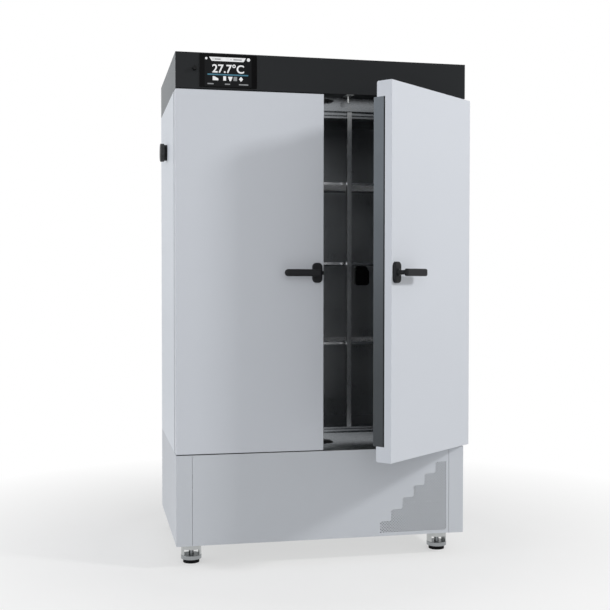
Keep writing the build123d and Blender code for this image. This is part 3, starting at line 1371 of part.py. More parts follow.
save("right_door_shell", opened(door_shell() - striker_slot()))
save("right_door_foam", opened(door_foam() - striker_slot()))
save("right_door_liner", opened(door_liner() - striker_slot()))
save("right_door_gasket", *[opened(seal) for seal in door_gasket()])
save("right_rosette", opened(rosette()))
save("right_lever", opened(lever()))
save("right_lock_rod", *[opened(piece) for piece in lock_rod()])
save("left_door_shell", mirrored(door_shell()))
save("left_door_foam", mirrored(door_foam()))
save("left_door_liner", mirrored(door_liner()))
save("left_door_gasket", *[mirrored(seal) for seal in door_gasket()])
save("left_rosette", mirrored(rosette()) - button_block(PORT_PLUG_CLEARANCE, BUTTON_TRAVEL))
save("left_lever", mirrored(lever()))
save("left_lock_rod", *[mirrored(piece) for piece in lock_rod()])
save("left_lock_button", button_block(0, 0))

for level, name in ((-1, "shelf_bottom"), (0, "shelf_middle"), (1, "shelf_top")):
    save(name, shelf(level))
save("shelf_supports", *shelf_supports())
save("duct_panel", duct_panel())
save("circulation_fan", circulation_fan())
save("fan_motor", fan_motor())
save("heater", heater())
save("cooler", cooler())
save("temperature_probe", temperature_probe())
save("inner_socket", inner_socket())
save("socket_lid", socket_lid())
save("port_sleeve", port_sleeve())
save("port_plug", port_plug())

save("display_unit", *display_unit())
save("power_knob", power_knob())
save("mains_switch_and_inlet", *mains_switch_and_inlet())
save("control_board", *control_board())

save("base_side_panels", *base_side_panels())
save("base_plates", *base_plates())
save("base_front_panel", base_front_panel())
save("rear_grille", rear_grille())
save("compressor", *compressor())
save("condenser", condenser())
save("condenser_fan_housing", condenser_fan_housing())
save("condenser_fan", condenser_fan())
save("refrigerant_pipes", *refrigerant_pipes())
save("condensate_drain", *condensate_drain())
save("panel_screws", *panel_screws())
for name, place in foot_places().items():
    save("foot_" + name, *levelling_foot(*place))
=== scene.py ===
# %% [markdown]
# # An environmental test chamber, dressed in Blender
# The object is a tall insulated cabinet on a machine base: two doors, the right one standing open,
# a dark hood with a touch display, stainless furniture inside and four levelling feet.
# A CAD model already fixes every size, so this lesson only adds finishes and the fine pieces
# that are quicker to work out as surfaces than as solids.

# %% Load the frame
import math
import bmesh
import bpy
import numpy as np
from mathutils import Matrix, Vector


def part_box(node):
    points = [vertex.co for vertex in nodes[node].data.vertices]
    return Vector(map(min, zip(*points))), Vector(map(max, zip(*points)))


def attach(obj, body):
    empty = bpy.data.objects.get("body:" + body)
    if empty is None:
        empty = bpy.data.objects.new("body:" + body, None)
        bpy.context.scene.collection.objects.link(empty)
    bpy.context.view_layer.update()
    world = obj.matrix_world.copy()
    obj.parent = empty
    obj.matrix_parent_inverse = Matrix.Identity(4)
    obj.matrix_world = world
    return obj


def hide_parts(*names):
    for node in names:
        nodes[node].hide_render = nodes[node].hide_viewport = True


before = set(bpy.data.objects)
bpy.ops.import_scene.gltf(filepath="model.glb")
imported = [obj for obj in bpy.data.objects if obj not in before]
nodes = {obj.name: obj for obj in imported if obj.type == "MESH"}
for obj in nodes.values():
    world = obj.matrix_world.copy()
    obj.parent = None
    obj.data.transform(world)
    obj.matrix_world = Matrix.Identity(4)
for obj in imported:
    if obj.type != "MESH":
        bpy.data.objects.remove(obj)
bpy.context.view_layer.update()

MM = 0.001

# %% [markdown]
# ## Small helpers
# Paint makers give colours as sRGB hex values, and Blender's shaders want linear light,
# so one function does that change. Another one adds a shader node with its settings and its links,
# which keeps each material to a few readable lines.


# %% Colour and node helpers
def linear(code):
    """sRGB hex to linear RGBA: c/12.92 below 0.04045, else ((c + 0.055) / 1.055) ** 2.4."""
    value = np.array([int(code[i:i + 2], 16) for i in (1, 3, 5)]) / 255
    low = value / 12.92
    high = ((value + 0.055) / 1.055) ** 2.4
    return (*np.where(value <= 0.04045, low, high), 1.0)


def add(tree, kind, settings=None, **links):
    """One shader node: settings are its properties, links are its sockets' values or sources."""
    node = tree.nodes.new("ShaderNode" + kind)
    for key, value in (settings or {}).items():
        setattr(node, key, value)
    for name, value in links.items():
        key = int(name[1:]) if name[1:].isdigit() else name.replace("_", " ")
        socket = node.inputs[key]
        if isinstance(value, bpy.types.NodeSocket):
            tree.links.new(value, socket)
        else:
            socket.default_value = value
    return node


def new_material(name, **surface):
    """A material with one Principled shader; surface gives the shader's own socket values."""
    material = bpy.data.materials.new(name)
    material.use_nodes = True
    tree = material.node_tree
    tree.nodes.clear()
    shader = add(tree, "BsdfPrincipled", None, **surface)
    add(tree, "OutputMaterial", None, Surface=shader.outputs["BSDF"])
    return material, tree, shader


def shader_of(material):
    """The Principled shader of a finished material."""
    return [node for node in material.node_tree.nodes if node.type == "BSDF_PRINCIPLED"][0]


def surface_from(tree, socket):
    """Gives a material's surface another shader."""
    output = [node for node in tree.nodes if node.type == "OUTPUT_MATERIAL"][0]
    tree.links.new(socket, output.inputs["Surface"])


def place(tree, scale=(1, 1, 1)):
    """Object coordinates in metres of the real object, stretched by scale."""
    coordinates = add(tree, "TexCoord")
    return add(tree, "Mapping", None, Vector=coordinates.outputs["Object"], Scale=scale).outputs["Vector"]


def tint(tree, shader, factor, low, high):
    """The shader's colour from two close hex tones, mixed by a factor socket."""
    tree.links.new(blend_colours(tree, factor, linear(low), linear(high)), shader.inputs["Base Color"])


def blend_colours(tree, factor, dark, light):
    """A mix of two colours by a factor socket."""
    return add(tree, "Mix", {"data_type": "RGBA"}, Factor=factor, _6=dark, _7=light).outputs[2]


def spread(tree, value, low, high, to_low, to_high):
    """A value mapped from one range to another, and held inside it."""
    return add(tree, "MapRange", None, Value=value, From_Min=low, From_Max=high, To_Min=to_low,
               To_Max=to_high).outputs["Result"]


print("helpers ready")

# %% [markdown]
# ## Meshes from arrays
# A surface is a grid of points: two parameters in, three coordinates out, for all points at once.
# A profile carried along a path is the same grid with another formula.


# %% Mesh helpers
def finish_mesh(name, points, faces, smooth=True):
    """Points and faces into an object at the origin; the place stays in the mesh."""
    mesh = bpy.data.meshes.new(name)
    mesh.from_pydata([tuple(p) for p in points], [], [tuple(f) for f in faces])
    mesh.polygons.foreach_set("use_smooth", np.full(len(mesh.polygons), smooth))
    mesh.update()
    piece = bpy.data.objects.new(name, mesh)
    bpy.context.scene.collection.objects.link(piece)
    return piece


def grid_faces(rows, columns, wrap=False):
    """Quads of a grid of rows x columns points; wrap joins the last column to the first."""
    row = np.arange(rows - 1)[:, None]
    column = np.arange(columns if wrap else columns - 1)[None, :]
    after = (column + 1) % columns
    quads = np.stack([row * columns + column, row * columns + after, (row + 1) * columns + after,
                      (row + 1) * columns + column], axis=-1)
    return quads.reshape(-1, 4).tolist()


def outward(piece):
    """Merges doubled points and turns every face outwards."""
    work = bmesh.new()
    work.from_mesh(piece.data)
    bmesh.ops.remove_doubles(work, verts=work.verts, dist=1e-6)
    bmesh.ops.recalc_face_normals(work, faces=work.faces)
    work.to_mesh(piece.data)
    work.free()
    return piece


def rounded_outline(width, height, radius, steps=6):
    """Points of a rectangle with round corners, anticlockwise: corner centre + radius x (cos, sin)."""
    angle = np.linspace(0, math.pi / 2, steps + 1)
    parts = []
    for turn, (sx, sy) in enumerate(((1, 1), (-1, 1), (-1, -1), (1, -1))):
        a = angle + turn * math.pi / 2
        centre = np.array([sx * (width / 2 - radius), sy * (height / 2 - radius)])
        parts.append(centre + radius * np.stack([np.cos(a), np.sin(a)], axis=1))
    return np.concatenate(parts)


def lofted(name, rings):
    """A skin over rings of equal point count, with flat ends."""
    rings = np.asarray(rings, float)
    count, around = rings.shape[:2]
    faces = grid_faces(count, around, wrap=True)
    faces.append(list(range(around))[::-1])
    faces.append([(count - 1) * around + i for i in range(around)])
    return outward(finish_mesh(name, rings.reshape(-1, 3), faces))


def turned(name, profile, centre, axis, around=48):
    """A lathe form: each (distance, radius) of the profile becomes a ring about the axis."""
    axis = Vector(axis).normalized()
    side = np.array(axis.orthogonal().normalized())
    other = np.cross(np.array(axis), side)
    angle = np.linspace(0, 2 * math.pi, around, endpoint=False)
    circle = np.cos(angle)[:, None] * side + np.sin(angle)[:, None] * other
    profile = np.asarray(profile, float)
    rings = np.array(centre) + profile[:, 0, None, None] * np.array(axis) + profile[:, 1, None, None] * circle
    return lofted(name, rings)


def give(piece, material, body):
    """Material and body for a finished piece."""
    piece.data.materials.clear()
    piece.data.materials.append(material)
    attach(piece, body)
    return piece


print("mesh helpers ready")

# %% [markdown]
# ## Camera, floor and light
# A product photograph of a cabinet is taken with a long lens at chest height, a little to the left,
# so that one side shows. A few large soft lamps stand in for the studio's boxes,
# and the floor and the backdrop are the same pale tone.

# %% Camera
IMAGE_WIDTH = 610.0
FOCAL_PIXELS = 1022.0
SHIFT_PIXELS = 1.75
SENSOR_WIDTH = 36.0
scene = bpy.context.scene
camera_data = bpy.data.cameras.new("studio_camera")
camera = bpy.data.objects.new("studio_camera", camera_data)
scene.collection.objects.link(camera)
camera_data.sensor_fit = "HORIZONTAL"
camera_data.sensor_width = SENSOR_WIDTH
camera_data.lens = FOCAL_PIXELS / IMAGE_WIDTH * SENSOR_WIDTH
camera_data.shift_y = SHIFT_PIXELS / IMAGE_WIDTH
camera_data.clip_end = 50.0
yaw = math.radians(12.0)
pitch = math.radians(1.48)
roll = math.radians(0.05)
camera.location = (-0.7906, -3.7344, 0.9713)
camera.rotation_euler = (Matrix.Rotation(-yaw, 4, "Z") @ Matrix.Rotation(math.pi / 2 - pitch, 4, "X")
                         @ Matrix.Rotation(roll, 4, "Z")).to_euler()
scene.camera = camera
print("lens", round(camera_data.lens, 2), "mm")

# %% Floor
# Near the cabinet half of what the camera sees is the floor itself, with its shadow. Further out, and in
# every reflection, the floor turns to the plain white of the backdrop, so that no horizon shows.
NEAR_REACH = 0.75
FAR_REACH = 1.9
NEAR_WHITE = 0.5
FLOOR_HALF = 12.0
FLOOR_POINTS = 25
studio_white, tree, shader = new_material("matt_studio_floor", Roughness=0.9)
mottle = add(tree, "TexNoise", None, Vector=place(tree), Scale=3.0, Detail=2.0)
tint(tree, shader, mottle.outputs["Fac"], "#E6E6E5", "#ECECEB")
path = add(tree, "LightPath")
lit = add(tree, "Emission", None, Color=linear("#FFFFFF"), Strength=1.0)
seen = add(tree, "Math", {"operation": "MAXIMUM"}, _0=path.outputs["Is Glossy Ray"],
           _1=path.outputs["Is Transmission Ray"]).outputs[0]
reach = add(tree, "VectorMath", {"operation": "LENGTH"}, _0=place(tree)).outputs["Value"]
fade = spread(tree, reach, NEAR_REACH, FAR_REACH, NEAR_WHITE, 1.0)
to_camera = add(tree, "Math", {"operation": "MULTIPLY"}, _0=path.outputs["Is Camera Ray"], _1=fade).outputs[0]
share = add(tree, "Math", {"operation": "MAXIMUM"}, _0=seen, _1=to_camera).outputs[0]
seen_shader = add(tree, "MixShader", None, _0=share, _1=shader.outputs["BSDF"], _2=lit.outputs["Emission"])
surface_from(tree, seen_shader.outputs["Shader"])

extent = np.linspace(-FLOOR_HALF, FLOOR_HALF, FLOOR_POINTS)
floor_x, floor_y = np.meshgrid(extent, extent)
floor_points = np.stack([floor_x, floor_y, np.zeros_like(floor_x)], axis=-1).reshape(-1, 3)
floor = finish_mesh("studio_floor", floor_points, grid_faces(FLOOR_POINTS, FLOOR_POINTS))
floor.data.materials.append(studio_white)
print("floor", 2 * FLOOR_HALF, "m wide")

# %% World
# The backdrop is white where the camera, glass or a reflection sees it, and lights the object more weakly.
SOFT_FILL = 0.42
world = bpy.data.worlds.new("studio_world")
scene.world = world
world.use_nodes = True
sky = world.node_tree
sky.nodes.clear()
path = add(sky, "LightPath")
direct = add(sky, "Math", {"operation": "MAXIMUM"}, _0=path.outputs["Is Camera Ray"],
             _1=path.outputs["Is Transmission Ray"]).outputs[0]
shown = add(sky, "Math", {"operation": "MAXIMUM"}, _0=direct, _1=path.outputs["Is Glossy Ray"]).outputs[0]
strength = spread(sky, shown, 0.0, 1.0, SOFT_FILL, 1.0)
background = add(sky, "Background", None, Color=linear("#FFFFFF"), Strength=strength)
add(sky, "OutputWorld", None, Surface=background.outputs["Background"])
scene.view_settings.view_transform = "Standard"
print("stage ready")


# %% Lamps
def soft_box(name, position, target, size, power, colour):
    """A square lamp of this size in metres and power in watts that faces its target."""
    lamp = bpy.data.lights.new(name, "AREA")
    lamp.shape = "SQUARE"
    lamp.size = size
    lamp.energy = power
    lamp.color = linear(colour)[:3]
    holder = bpy.data.objects.new(name, lamp)
    scene.collection.objects.link(holder)
    holder.location = position
    holder.rotation_euler = (Vector(target) - Vector(position)).to_track_quat("-Z", "Y").to_euler()
    holder.visible_camera = False


# The small key lamp stands to the right, so the open door, which faces it, is lighter than the shut one,
# and each handle's shadow falls below it and to the left.
soft_box("key_box", (3.3, -2.5, 3.1), (0.1, -0.3, 0.9), 0.5, 78, "#FFFFFF")
soft_box("left_box", (-4.2, -0.6, 2.2), (-0.5, 0.0, 0.9), 2.4, 52, "#F4F8FF")
soft_box("front_box", (-0.8, -5.0, 2.2), (0.0, 0.0, 0.8), 2.6, 34, "#FFFFFF")
print("three soft boxes")

# %% [markdown]
# ## Paints
# The cabinet is sheet steel with a polyester powder coat. Powder melts into a skin with a faint
# orange peel a couple of millimetres wide, and that ripple is what breaks up its highlights.
# Three close greys are used, for the casing, the doors and the base, and a near black for the hood.
# The casing has the doors' paint, and its lighter grey is painted light for the lamp that falls on the
# cabinet's side.


# %% Powder coats
PEEL_WIDTH = 2.2 * MM
POWDER_GRAIN = 0.5 * MM


def powder_coat(name, low, high, roughness, peel=0.05, coat=0.0, gloss=0.5):
    """Polyester powder: two close tones, a wide orange peel and a quarter as much of a fine grain."""
    material, tree, shader = new_material(name, Roughness=roughness, IOR=1.5, Coat_Weight=coat,
                                          Coat_Roughness=0.08, Specular_IOR_Level=gloss)
    at = place(tree)
    cloud = add(tree, "TexNoise", None, Vector=at, Scale=2.2, Detail=3.0)
    tint(tree, shader, cloud.outputs["Fac"], low, high)
    ripple = add(tree, "TexNoise", None, Vector=at, Scale=1 / PEEL_WIDTH, Detail=2.0)
    grain = add(tree, "TexNoise", None, Vector=at, Scale=1 / POWDER_GRAIN, Detail=1.0)
    both = add(tree, "Math", {"operation": "MULTIPLY_ADD"}, _0=grain.outputs["Fac"], _1=0.25,
               _2=ripple.outputs["Fac"]).outputs[0]
    bump = add(tree, "Bump", None, Strength=peel, Distance=0.05 * MM, Height=both)
    tree.links.new(bump.outputs["Normal"], shader.inputs["Normal"])
    rough = spread(tree, cloud.outputs["Fac"], 0.3, 0.7, roughness - 0.03, roughness + 0.03)
    tree.links.new(rough, shader.inputs["Roughness"])
    return material


door_grey = powder_coat("powder_coated_steel_door_grey", "#CBCFD6", "#CFD3DA", 0.42)
# The casing's lighter tones are painted light: the door paint made lighter for the lamp that falls on the
# casing.
casing_painted_light_grey = powder_coat("powder_coated_steel_casing_painted_light_grey", "#D6DBE2", "#DADFE5", 0.42)
base_grey = powder_coat("powder_coated_steel_base_grey", "#C3C7CD", "#C7CBD1", 0.45)
print("powder coats:", door_grey.name, casing_painted_light_grey.name, base_grey.name)

# %% Hood paint
# Satin black on the front. The two cheeks are the same black sheet folded round the corner, and their lighter
# grey is painted light for the lamp that falls on the sides. It starts at the fold, so it follows the
# distance from the middle of the cabinet.
hood_black = powder_coat("powder_coated_steel_hood_black", "#1D1F21", "#212325", 0.40, 0.04, gloss=0.12)
cheek_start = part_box("hood")[1].x - 0.25 * MM
tree = hood_black.node_tree
shader = shader_of(hood_black)
separated = add(tree, "SeparateXYZ", None, Vector=place(tree))
from_middle = add(tree, "Math", {"operation": "ABSOLUTE"}, _0=separated.outputs["X"]).outputs[0]
# Painted light: the cheeks get a lighter grey in place of the lamp light on the black sides.
painted_light_on_cheek = add(tree, "Math", {"operation": "GREATER_THAN"}, _0=from_middle, _1=cheek_start).outputs[0]
front_tone = shader.inputs["Base Color"].links[0].from_socket
tree.links.new(blend_colours(tree, painted_light_on_cheek, front_tone, linear("#6C7174")), shader.inputs["Base Color"])
print("hood cheek starts at", round(cheek_start / MM, 1), "mm")

# %% [markdown]
# ## Stainless steel
# The chamber is polished 304 sheet. Polishing leaves fine scratches along the sheet,
# so the roughness is streaked one way and a very slight bump follows the same streaks.


# %% Metals
STREAK_STRETCH = 60


def rolled_steel(name, low, high, roughness, along, streak=0.5, bump_strength=0.02):
    """Metal with scratches: noise stretched along one axis, with lines about streak millimetres apart."""
    material, tree, shader = new_material(name, Metallic=1.0, Roughness=roughness)
    fine = 1 / (streak * MM)
    scale = [fine] * 3
    scale[along] = fine / STREAK_STRETCH
    lines = add(tree, "TexNoise", None, Vector=place(tree, scale), Scale=1.0, Detail=3.0)
    cloud = add(tree, "TexNoise", None, Vector=place(tree), Scale=6.0, Detail=2.0)
    cloud_part = add(tree, "Math", {"operation": "MULTIPLY"}, _0=cloud.outputs["Fac"], _1=0.4).outputs[0]
    mixed = add(tree, "Math", {"operation": "MULTIPLY_ADD"}, _0=lines.outputs["Fac"], _1=0.6,
                _2=cloud_part).outputs[0]
    tint(tree, shader, mixed, low, high)
    rough = spread(tree, mixed, 0.3, 0.7, roughness * 0.75, roughness * 1.25)
    tree.links.new(rough, shader.inputs["Roughness"])
    bump = add(tree, "Bump", None, Strength=bump_strength, Distance=0.05 * MM, Height=lines.outputs["Fac"])
    tree.links.new(bump.outputs["Normal"], shader.inputs["Normal"])
    return material


chamber_steel = rolled_steel("polished_304_stainless_chamber", "#9A9DA0", "#A8ABAE", 0.32, 2)
frame_steel = rolled_steel("polished_304_stainless_frame", "#75787B", "#888B8E", 0.26, 0)
# The door plugs are polished stainless like the chamber. Their dark grey is a painted dark reflection of the
# hood and surroundings that their edges mirror.
plug_steel_painted_dark = rolled_steel("polished_stainless_plug_painted_dark_reflection", "#3E4143", "#4A4D50", 0.34, 2)
post_steel = rolled_steel("ground_304_stainless_post", "#8A8C8E", "#A0A2A4", 0.28, 2)
shelf_steel = rolled_steel("electropolished_stainless_shelf", "#B4B6B8", "#CBCDCF", 0.24, 0)
zinc = rolled_steel("zinc_plated_steel", "#A2A5A6", "#B5B7B6", 0.36, 0, 1.5, 0.04)
aluminium = rolled_steel("mill_finish_aluminium_fins", "#B4B7BA", "#C6C8CA", 0.34, 2, 0.8)
copper = rolled_steel("drawn_copper_tube", "#A7643F", "#BF7B54", 0.30, 2, 0.6)
print("metals:", chamber_steel.name, shelf_steel.name, zinc.name)


# %% Plastics, rubber and foam
def moulded(name, low, high, roughness, grain=0.8, strength=0.1, gloss=0.5):
    """Moulded plastic or rubber: a leathery spark-eroded grain of about grain millimetres."""
    material, tree, shader = new_material(name, Roughness=roughness, IOR=1.5, Specular_IOR_Level=gloss)
    at = place(tree)
    texture = add(tree, "TexVoronoi", {"feature": "SMOOTH_F1"}, Vector=at, Scale=1 / (grain * MM))
    cloud = add(tree, "TexNoise", None, Vector=at, Scale=14.0, Detail=2.0)
    tint(tree, shader, cloud.outputs["Fac"], low, high)
    bump = add(tree, "Bump", None, Strength=strength, Distance=0.1 * MM, Height=texture.outputs["Distance"])
    tree.links.new(bump.outputs["Normal"], shader.inputs["Normal"])
    tree.links.new(spread(tree, cloud.outputs["Fac"], 0.3, 0.7, roughness - 0.04, roughness + 0.04),
                   shader.inputs["Roughness"])
    return material


handle_black = moulded("glass_filled_nylon_handle", "#16171A", "#1C1D20", 0.46, 0.7, 0.12, 0.15)
black_abs = moulded("moulded_abs_black", "#0F1011", "#151617", 0.40, 0.9, 0.08, 0.12)
grey_abs = moulded("moulded_abs_grey", "#7E8183", "#868889", 0.5)
seal_rubber = moulded("extruded_epdm_seal", "#101112", "#18191A", 0.66, 1.6, 0.2, 0.1)
foot_rubber = moulded("moulded_nitrile_foot", "#0C0D0E", "#151516", 0.72, 1.4, 0.25, 0.1)
silicone = moulded("moulded_silicone_plug", "#1A1B1C", "#222324", 0.55, 1.2, 0.1)
foam = moulded("rigid_polyurethane_foam", "#D9C583", "#E8D89C", 0.85, 2.0, 0.5)
enamel_black = powder_coat("stove_enamel_black", "#0E0F10", "#141516", 0.22, 0.08, 0.3)
board_green = moulded("solder_mask_green", "#0E3E22", "#15502D", 0.3, 3.0, 0.05)
cover_glass = moulded("back_painted_cover_glass", "#020203", "#040405", 0.12, 4.0, 0.0, 0.04)
print("plastics and rubber ready")


# %% Foot finish
# A foot is two things in one part: a rubber pad below and a zinc plated ring that is turned by hand above.
# The height above the floor tells them apart.
ring_height = 13.5 * MM
tree = foot_rubber.node_tree
rubber_shader = shader_of(foot_rubber)
plated = add(tree, "BsdfPrincipled", None, Base_Color=linear("#8F9294"), Metallic=1.0, Roughness=0.38)
height = add(tree, "SeparateXYZ", None, Vector=place(tree)).outputs["Z"]
above = add(tree, "Math", {"operation": "GREATER_THAN"}, _0=height, _1=ring_height).outputs[0]
both_shaders = add(tree, "MixShader", None, _0=above, _1=rubber_shader.outputs["BSDF"],
                   _2=plated.outputs["BSDF"])
surface_from(tree, both_shaders.outputs["Shader"])
print("foot ring starts at", round(ring_height / MM, 1), "mm")

# %% [markdown]
# ## Every CAD part gets its finish
# The parts keep their CAD meshes. Only the material is changed, from a table that reads like a parts list.

# %% Finishes by node
finishes = {
    casing_painted_light_grey: ["outer_casing", "top_cover"],
    door_grey: ["left_door_shell", "right_door_shell"],
    base_grey: ["base_front_panel", "rear_grille", "base_side_panels"],
    hood_black: ["hood"],
    chamber_steel: ["chamber_liner", "duct_panel", "heater", "temperature_probe"],
    plug_steel_painted_dark: ["right_door_liner", "left_door_liner"],
    frame_steel: ["front_frame", "throat_ring"],
    post_steel: ["support_post"],
    shelf_steel: ["shelf_top", "shelf_middle", "shelf_bottom", "shelf_supports"],
    zinc: ["back_panel", "hinge_brackets", "striker_bracket", "right_lock_rod", "left_lock_rod",
           "base_plates", "condenser_fan_housing", "fan_motor", "panel_screws"],
    aluminium: ["circulation_fan", "cooler", "condenser"],
    copper: ["refrigerant_pipes"],
    handle_black: ["right_rosette", "right_lever", "left_rosette", "left_lever"],
    black_abs: ["lock_keepers", "left_lock_button", "power_knob", "mains_switch_and_inlet", "condenser_fan",
                "inner_socket", "socket_lid", "port_sleeve"],
    cover_glass: ["display_unit"],
    grey_abs: ["condensate_drain"],
    seal_rubber: ["right_door_gasket", "left_door_gasket"],
    foot_rubber: ["foot_front_left", "foot_front_right", "foot_rear_left", "foot_rear_right"],
    silicone: ["port_plug"],
    foam: ["insulation", "right_door_foam", "left_door_foam"],
    enamel_black: ["compressor"],
    board_green: ["control_board"],
}
finish_of = {name: material for material, names in finishes.items() for name in names}
assert set(finish_of) == set(nodes), sorted(set(finish_of) ^ set(nodes))
for name, material in finish_of.items():
    nodes[name].data.materials.clear()
    nodes[name].data.materials.append(material)
print("finished", len(finish_of), "nodes with", len(finishes), "materials")

# %% [markdown]
# ## Lever handles
# Each handle is a moulded lever on a short round neck. The CAD lever is a plain bar, and the real one is a
# bar whose ends are fully round, so one rounded rectangle is carried along the bar
# and drawn in towards both ends like a quarter circle.


# %% Grip
GRIP_DEPTH = 14 * MM
GRIP_HEIGHT = 24 * MM
GRIP_CORNER = 5 * MM
SMALLEST_CORNER = 0.5 * MM
END_RADIUS = 11.5 * MM
GRIP_STATIONS = 41
END_CROWDING = 0.45
DEPTH_LIMIT = 0.45
FULL_LENGTH = 0.9995


def drawn_in(along, half, radius):
    """Inset of a round end: radius - sqrt(radius^2 - d^2), where d is how far a point is into the end."""
    into = np.clip(np.abs(along) - (half - radius), 0, radius)
    return radius - np.sqrt(np.clip(radius ** 2 - into ** 2, 0, None))


def grip_section(inset):
    """The grip's rounded rectangle, smaller by the inset on every side."""
    corner = 0.4 * (GRIP_DEPTH - 1.1 * inset)
    return rounded_outline(GRIP_HEIGHT - 2 * inset, GRIP_DEPTH - 2 * min(inset, DEPTH_LIMIT * GRIP_DEPTH),
                           max(SMALLEST_CORNER, min(GRIP_CORNER, corner)))


def grip_mesh(name, low, high):
    """Sections at places that crowd towards the ends: sign(t) |t|^0.45, with t = sin(angle)."""
    half = (high.x - low.x) / 2
    ease = np.sin(np.linspace(-math.pi / 2, math.pi / 2, GRIP_STATIONS))
    crowded = np.sign(ease) * np.abs(ease) ** END_CROWDING
    along = np.concatenate([ease[:1], crowded, ease[-1:]]) * half * FULL_LENGTH
    sections = np.stack([grip_section(inset) for inset in drawn_in(along, half, END_RADIUS)])
    across = np.broadcast_to(((high.x + low.x) / 2 + along)[:, None], sections.shape[:2])
    rings = np.stack([across, low.y + GRIP_DEPTH / 2 + sections[:, :, 1],
                      (low.z + high.z) / 2 + sections[:, :, 0]], axis=-1)
    return lofted(name, rings)


# %% Neck
PIVOT_INSET = 12 * MM
SPINDLE_RADIUS = 4 * MM
FERRULE_RADIUS = 11.5 * MM
NECK_RADIUS = 7.5 * MM
NECK_TOP_RADIUS = 9 * MM
NECK_LENGTH = 26 * MM


def neck_mesh(name, pivot_x, low, high, plate_front):
    """A spindle inside the door, a ferrule ring on its plate, and the neck up to the grip."""
    sunk = high.y - plate_front
    profile = [[0, SPINDLE_RADIUS], [sunk, SPINDLE_RADIUS], [sunk + 0.3 * MM, FERRULE_RADIUS],
               [sunk + 2.5 * MM, FERRULE_RADIUS], [sunk + 4.5 * MM, NECK_RADIUS],
               [sunk + 20 * MM, NECK_RADIUS], [sunk + NECK_LENGTH, NECK_TOP_RADIUS]]
    start = Vector((pivot_x, high.y, (low.z + high.z) / 2))
    return turned(name, profile, start, (0, -1, 0))


# %% Both levers
# The left lever's box gives the places. The right one is its mirror, turned with its door, which stands
# 40 degrees open about the hinge.
OPEN_ANGLE = math.radians(40)
right_hinge = Vector((489.0, -281.0, 0.0)) * MM
open_turn = (Matrix.Translation(right_hinge) @ Matrix.Rotation(OPEN_ANGLE, 4, "Z")
             @ Matrix.Translation(-right_hinge))
left_low, left_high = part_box("left_lever")
plate_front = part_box("left_rosette")[0].y
right_low = Vector((-left_high.x, left_low.y, left_low.z))
right_high = Vector((-left_low.x, left_high.y, left_high.z))
shut_turn = Matrix()
for side, low, high, pivot_x, turn in (
        ("left", left_low, left_high, left_high.x - PIVOT_INSET, shut_turn),
        ("right", right_low, right_high, right_low.x + PIVOT_INSET, open_turn)):
    grip = grip_mesh(side + "_lever_grip", low, high)
    neck = neck_mesh(side + "_lever_grip_neck", pivot_x, low, high, plate_front)
    for piece in (grip, neck):
        piece.data.transform(turn)
        give(piece, handle_black, side + "_lever")
        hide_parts(side + "_lever")
print("levers", round((left_high.x - left_low.x) / MM), "mm long")

# %% [markdown]
# ## The touch display
# The glass is black, and what it shows is made of flat lit shapes that lie on it: a light bar with two round
# buttons, the temperature, a blue line, a row of small signs and three groups of marks.
# A screen gives light, so its material is an emission. It is not quite even, as behind real glass:
# a wave about 24 mm wide dims it by a few percent.


# %% Display light
GLOW_WIDTH = 23.7 * MM
WAVE_NODE_FACTOR = 20


def screen_light(name, colour, strength):
    """Lit glass: an emission that a slow wave dims by up to 8 percent."""
    material, tree, shader = new_material(name, Base_Color=linear("#020203"), Roughness=0.12,
                                          Specular_IOR_Level=0.04)
    wave = add(tree, "TexWave", {"bands_direction": "X"}, Vector=place(tree),
               Scale=2 * math.pi / GLOW_WIDTH / WAVE_NODE_FACTOR)
    tone = spread(tree, wave.outputs["Fac"], 0.0, 1.0, 0.92, 1.0)
    lit_colour = blend_colours(tree, tone, linear("#000000"), linear(colour))
    tree.links.new(lit_colour, shader.inputs["Emission Color"])
    shader.inputs["Emission Strength"].default_value = strength
    return material


screen_white = screen_light("lit_screen_white", "#F2F3F4", 0.95)
screen_grey = screen_light("lit_screen_grey", "#9EA0A2", 0.8)
screen_blue = screen_light("lit_screen_blue", "#4E7F93", 0.9)
screen_dark = screen_light("lit_screen_dark", "#131415", 1.0)
print("four screen lights")

# %% Display places
LAYER = 0.05 * MM
SCREEN_LEFT = -408.5 * MM
SCREEN_RIGHT = -251.5 * MM
SCREEN_FOOT = 1616 * MM
SCREEN_HEAD = 1714 * MM
screen_width = SCREEN_RIGHT - SCREEN_LEFT
screen_height = SCREEN_HEAD - SCREEN_FOOT
screen_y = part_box("display_unit")[0].y - LAYER


def on_screen(across, up, layer=1):
    """Points from shares of the screen's width and height; each layer lies a little in front of the last."""
    across = np.asarray(across, float)
    up = np.asarray(up, float)
    return np.stack([SCREEN_LEFT + across * screen_width, np.full(across.shape, screen_y - LAYER * layer),
                     SCREEN_FOOT + up * screen_height], axis=-1)


def screen_shape(name, across, up, material, layer=1):
    """One flat shape on the screen from its corner points."""
    points = on_screen(across, up, layer)
    piece = finish_mesh(name, points, [list(range(len(points)))], False)
    return give(piece, material, "cabinet")


def screen_box(name, start, end, foot, head, material, layer=1):
    """An upright rectangle on the screen."""
    return screen_shape(name, [start, end, end, start], [foot, foot, head, head], material, layer)


def screen_disc(name, across, up, radius, material):
    """A round button: across + radius cos(a), up + aspect x radius sin(a)."""
    aspect = screen_width / screen_height
    a = np.linspace(0, 2 * math.pi, 24, endpoint=False)
    return screen_shape(name, across + radius * np.cos(a), up + aspect * radius * np.sin(a), material)


print("display", round(screen_width / MM), "x", round(screen_height / MM), "mm")

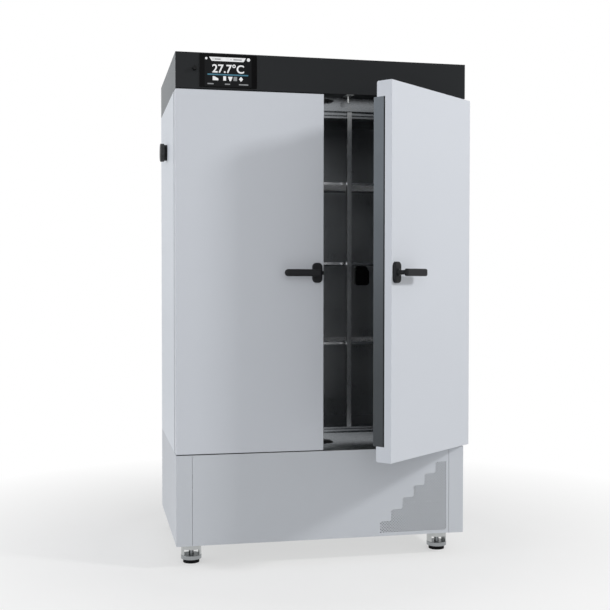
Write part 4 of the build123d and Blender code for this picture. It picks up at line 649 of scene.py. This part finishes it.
# %% Bar, buttons, line and marks
BAR_FOOT = 0.85
BAR_HEAD = 0.985
BUTTON_HEIGHT = 0.93
screen_box("screen_ground", 0, 1, 0, 1, screen_dark, 0)
screen_shape("screen_bar", [0.15, 0.83, 0.88, 0.095], [BAR_FOOT, BAR_FOOT, BAR_HEAD, BAR_HEAD], screen_white)
screen_disc("screen_button_left", 0.035, BUTTON_HEIGHT, 0.025, screen_white)
screen_disc("screen_button_right", 0.935, BUTTON_HEIGHT, 0.036, screen_white)
screen_box("screen_line", 0.06, 0.93, 0.375, 0.42, screen_blue)
for index, (start, end) in enumerate(((0.17, 0.185), (0.21, 0.34), (0.55, 0.57), (0.61, 0.79))):
    screen_box(f"screen_bar_mark_{index}", start, end, 0.895, 0.935, screen_grey, 2)
for index, (start, end) in enumerate(((0.06, 0.19), (0.43, 0.54), (0.73, 0.93))):
    screen_box(f"screen_foot_mark_{index}", start, end, 0.06, 0.10, screen_grey)
print("bar, buttons, line and marks")


# %% Figures
STROKE_SWELL = 0.018


def screen_text(name, words, across, up, height, width):
    """Flat figures as a mesh, scaled to a share of the screen and stood up facing the front."""
    curve = bpy.data.curves.new(name, "FONT")
    curve.body = words
    curve.offset = STROKE_SWELL
    holder = bpy.data.objects.new(name, curve)
    flat = bpy.data.meshes.new_from_object(holder)
    points = np.array([v.co[:2] for v in flat.vertices])
    share = (points - points.min(axis=0)) / np.ptp(points, axis=0)
    placed = on_screen(across + width * share[:, 0], up + height * share[:, 1])
    faces = [list(face.vertices) for face in flat.polygons]
    bpy.data.objects.remove(holder)
    bpy.data.meshes.remove(flat)
    return give(finish_mesh(name, placed, faces, False), screen_white, "cabinet")


screen_text("screen_temperature", "27.7°C", 0.16, 0.455, 0.30, 0.68)
print("temperature shown")

# %% Small signs
# Five plain signs stand in a row under the line: a falling chart, a door, a lamp, a fan and a cold sign.
SIGN_FOOT = 0.20
LAMP_FOOT = 0.19
LAMP_HEAD = 0.335
chart_top = [SIGN_FOOT, SIGN_FOOT, 0.26, 0.33, 0.34]
screen_shape("screen_sign_chart", [0.17, 0.29, 0.29, 0.21, 0.17], chart_top, screen_white)
screen_box("screen_sign_door", 0.395, 0.455, SIGN_FOOT, 0.345, screen_white)
screen_shape("screen_sign_lamp", [0.53, 0.56, 0.595, 0.495], [LAMP_FOOT, LAMP_FOOT, LAMP_HEAD, LAMP_HEAD],
             screen_white)
screen_shape("screen_sign_fan", [0.61, 0.69, 0.69, 0.62], [SIGN_FOOT, SIGN_FOOT, 0.34, 0.34], screen_grey)
screen_shape("screen_sign_cold", [0.775, 0.82, 0.775, 0.73], [0.18, 0.265, 0.35, 0.265], screen_white)
print("five signs")
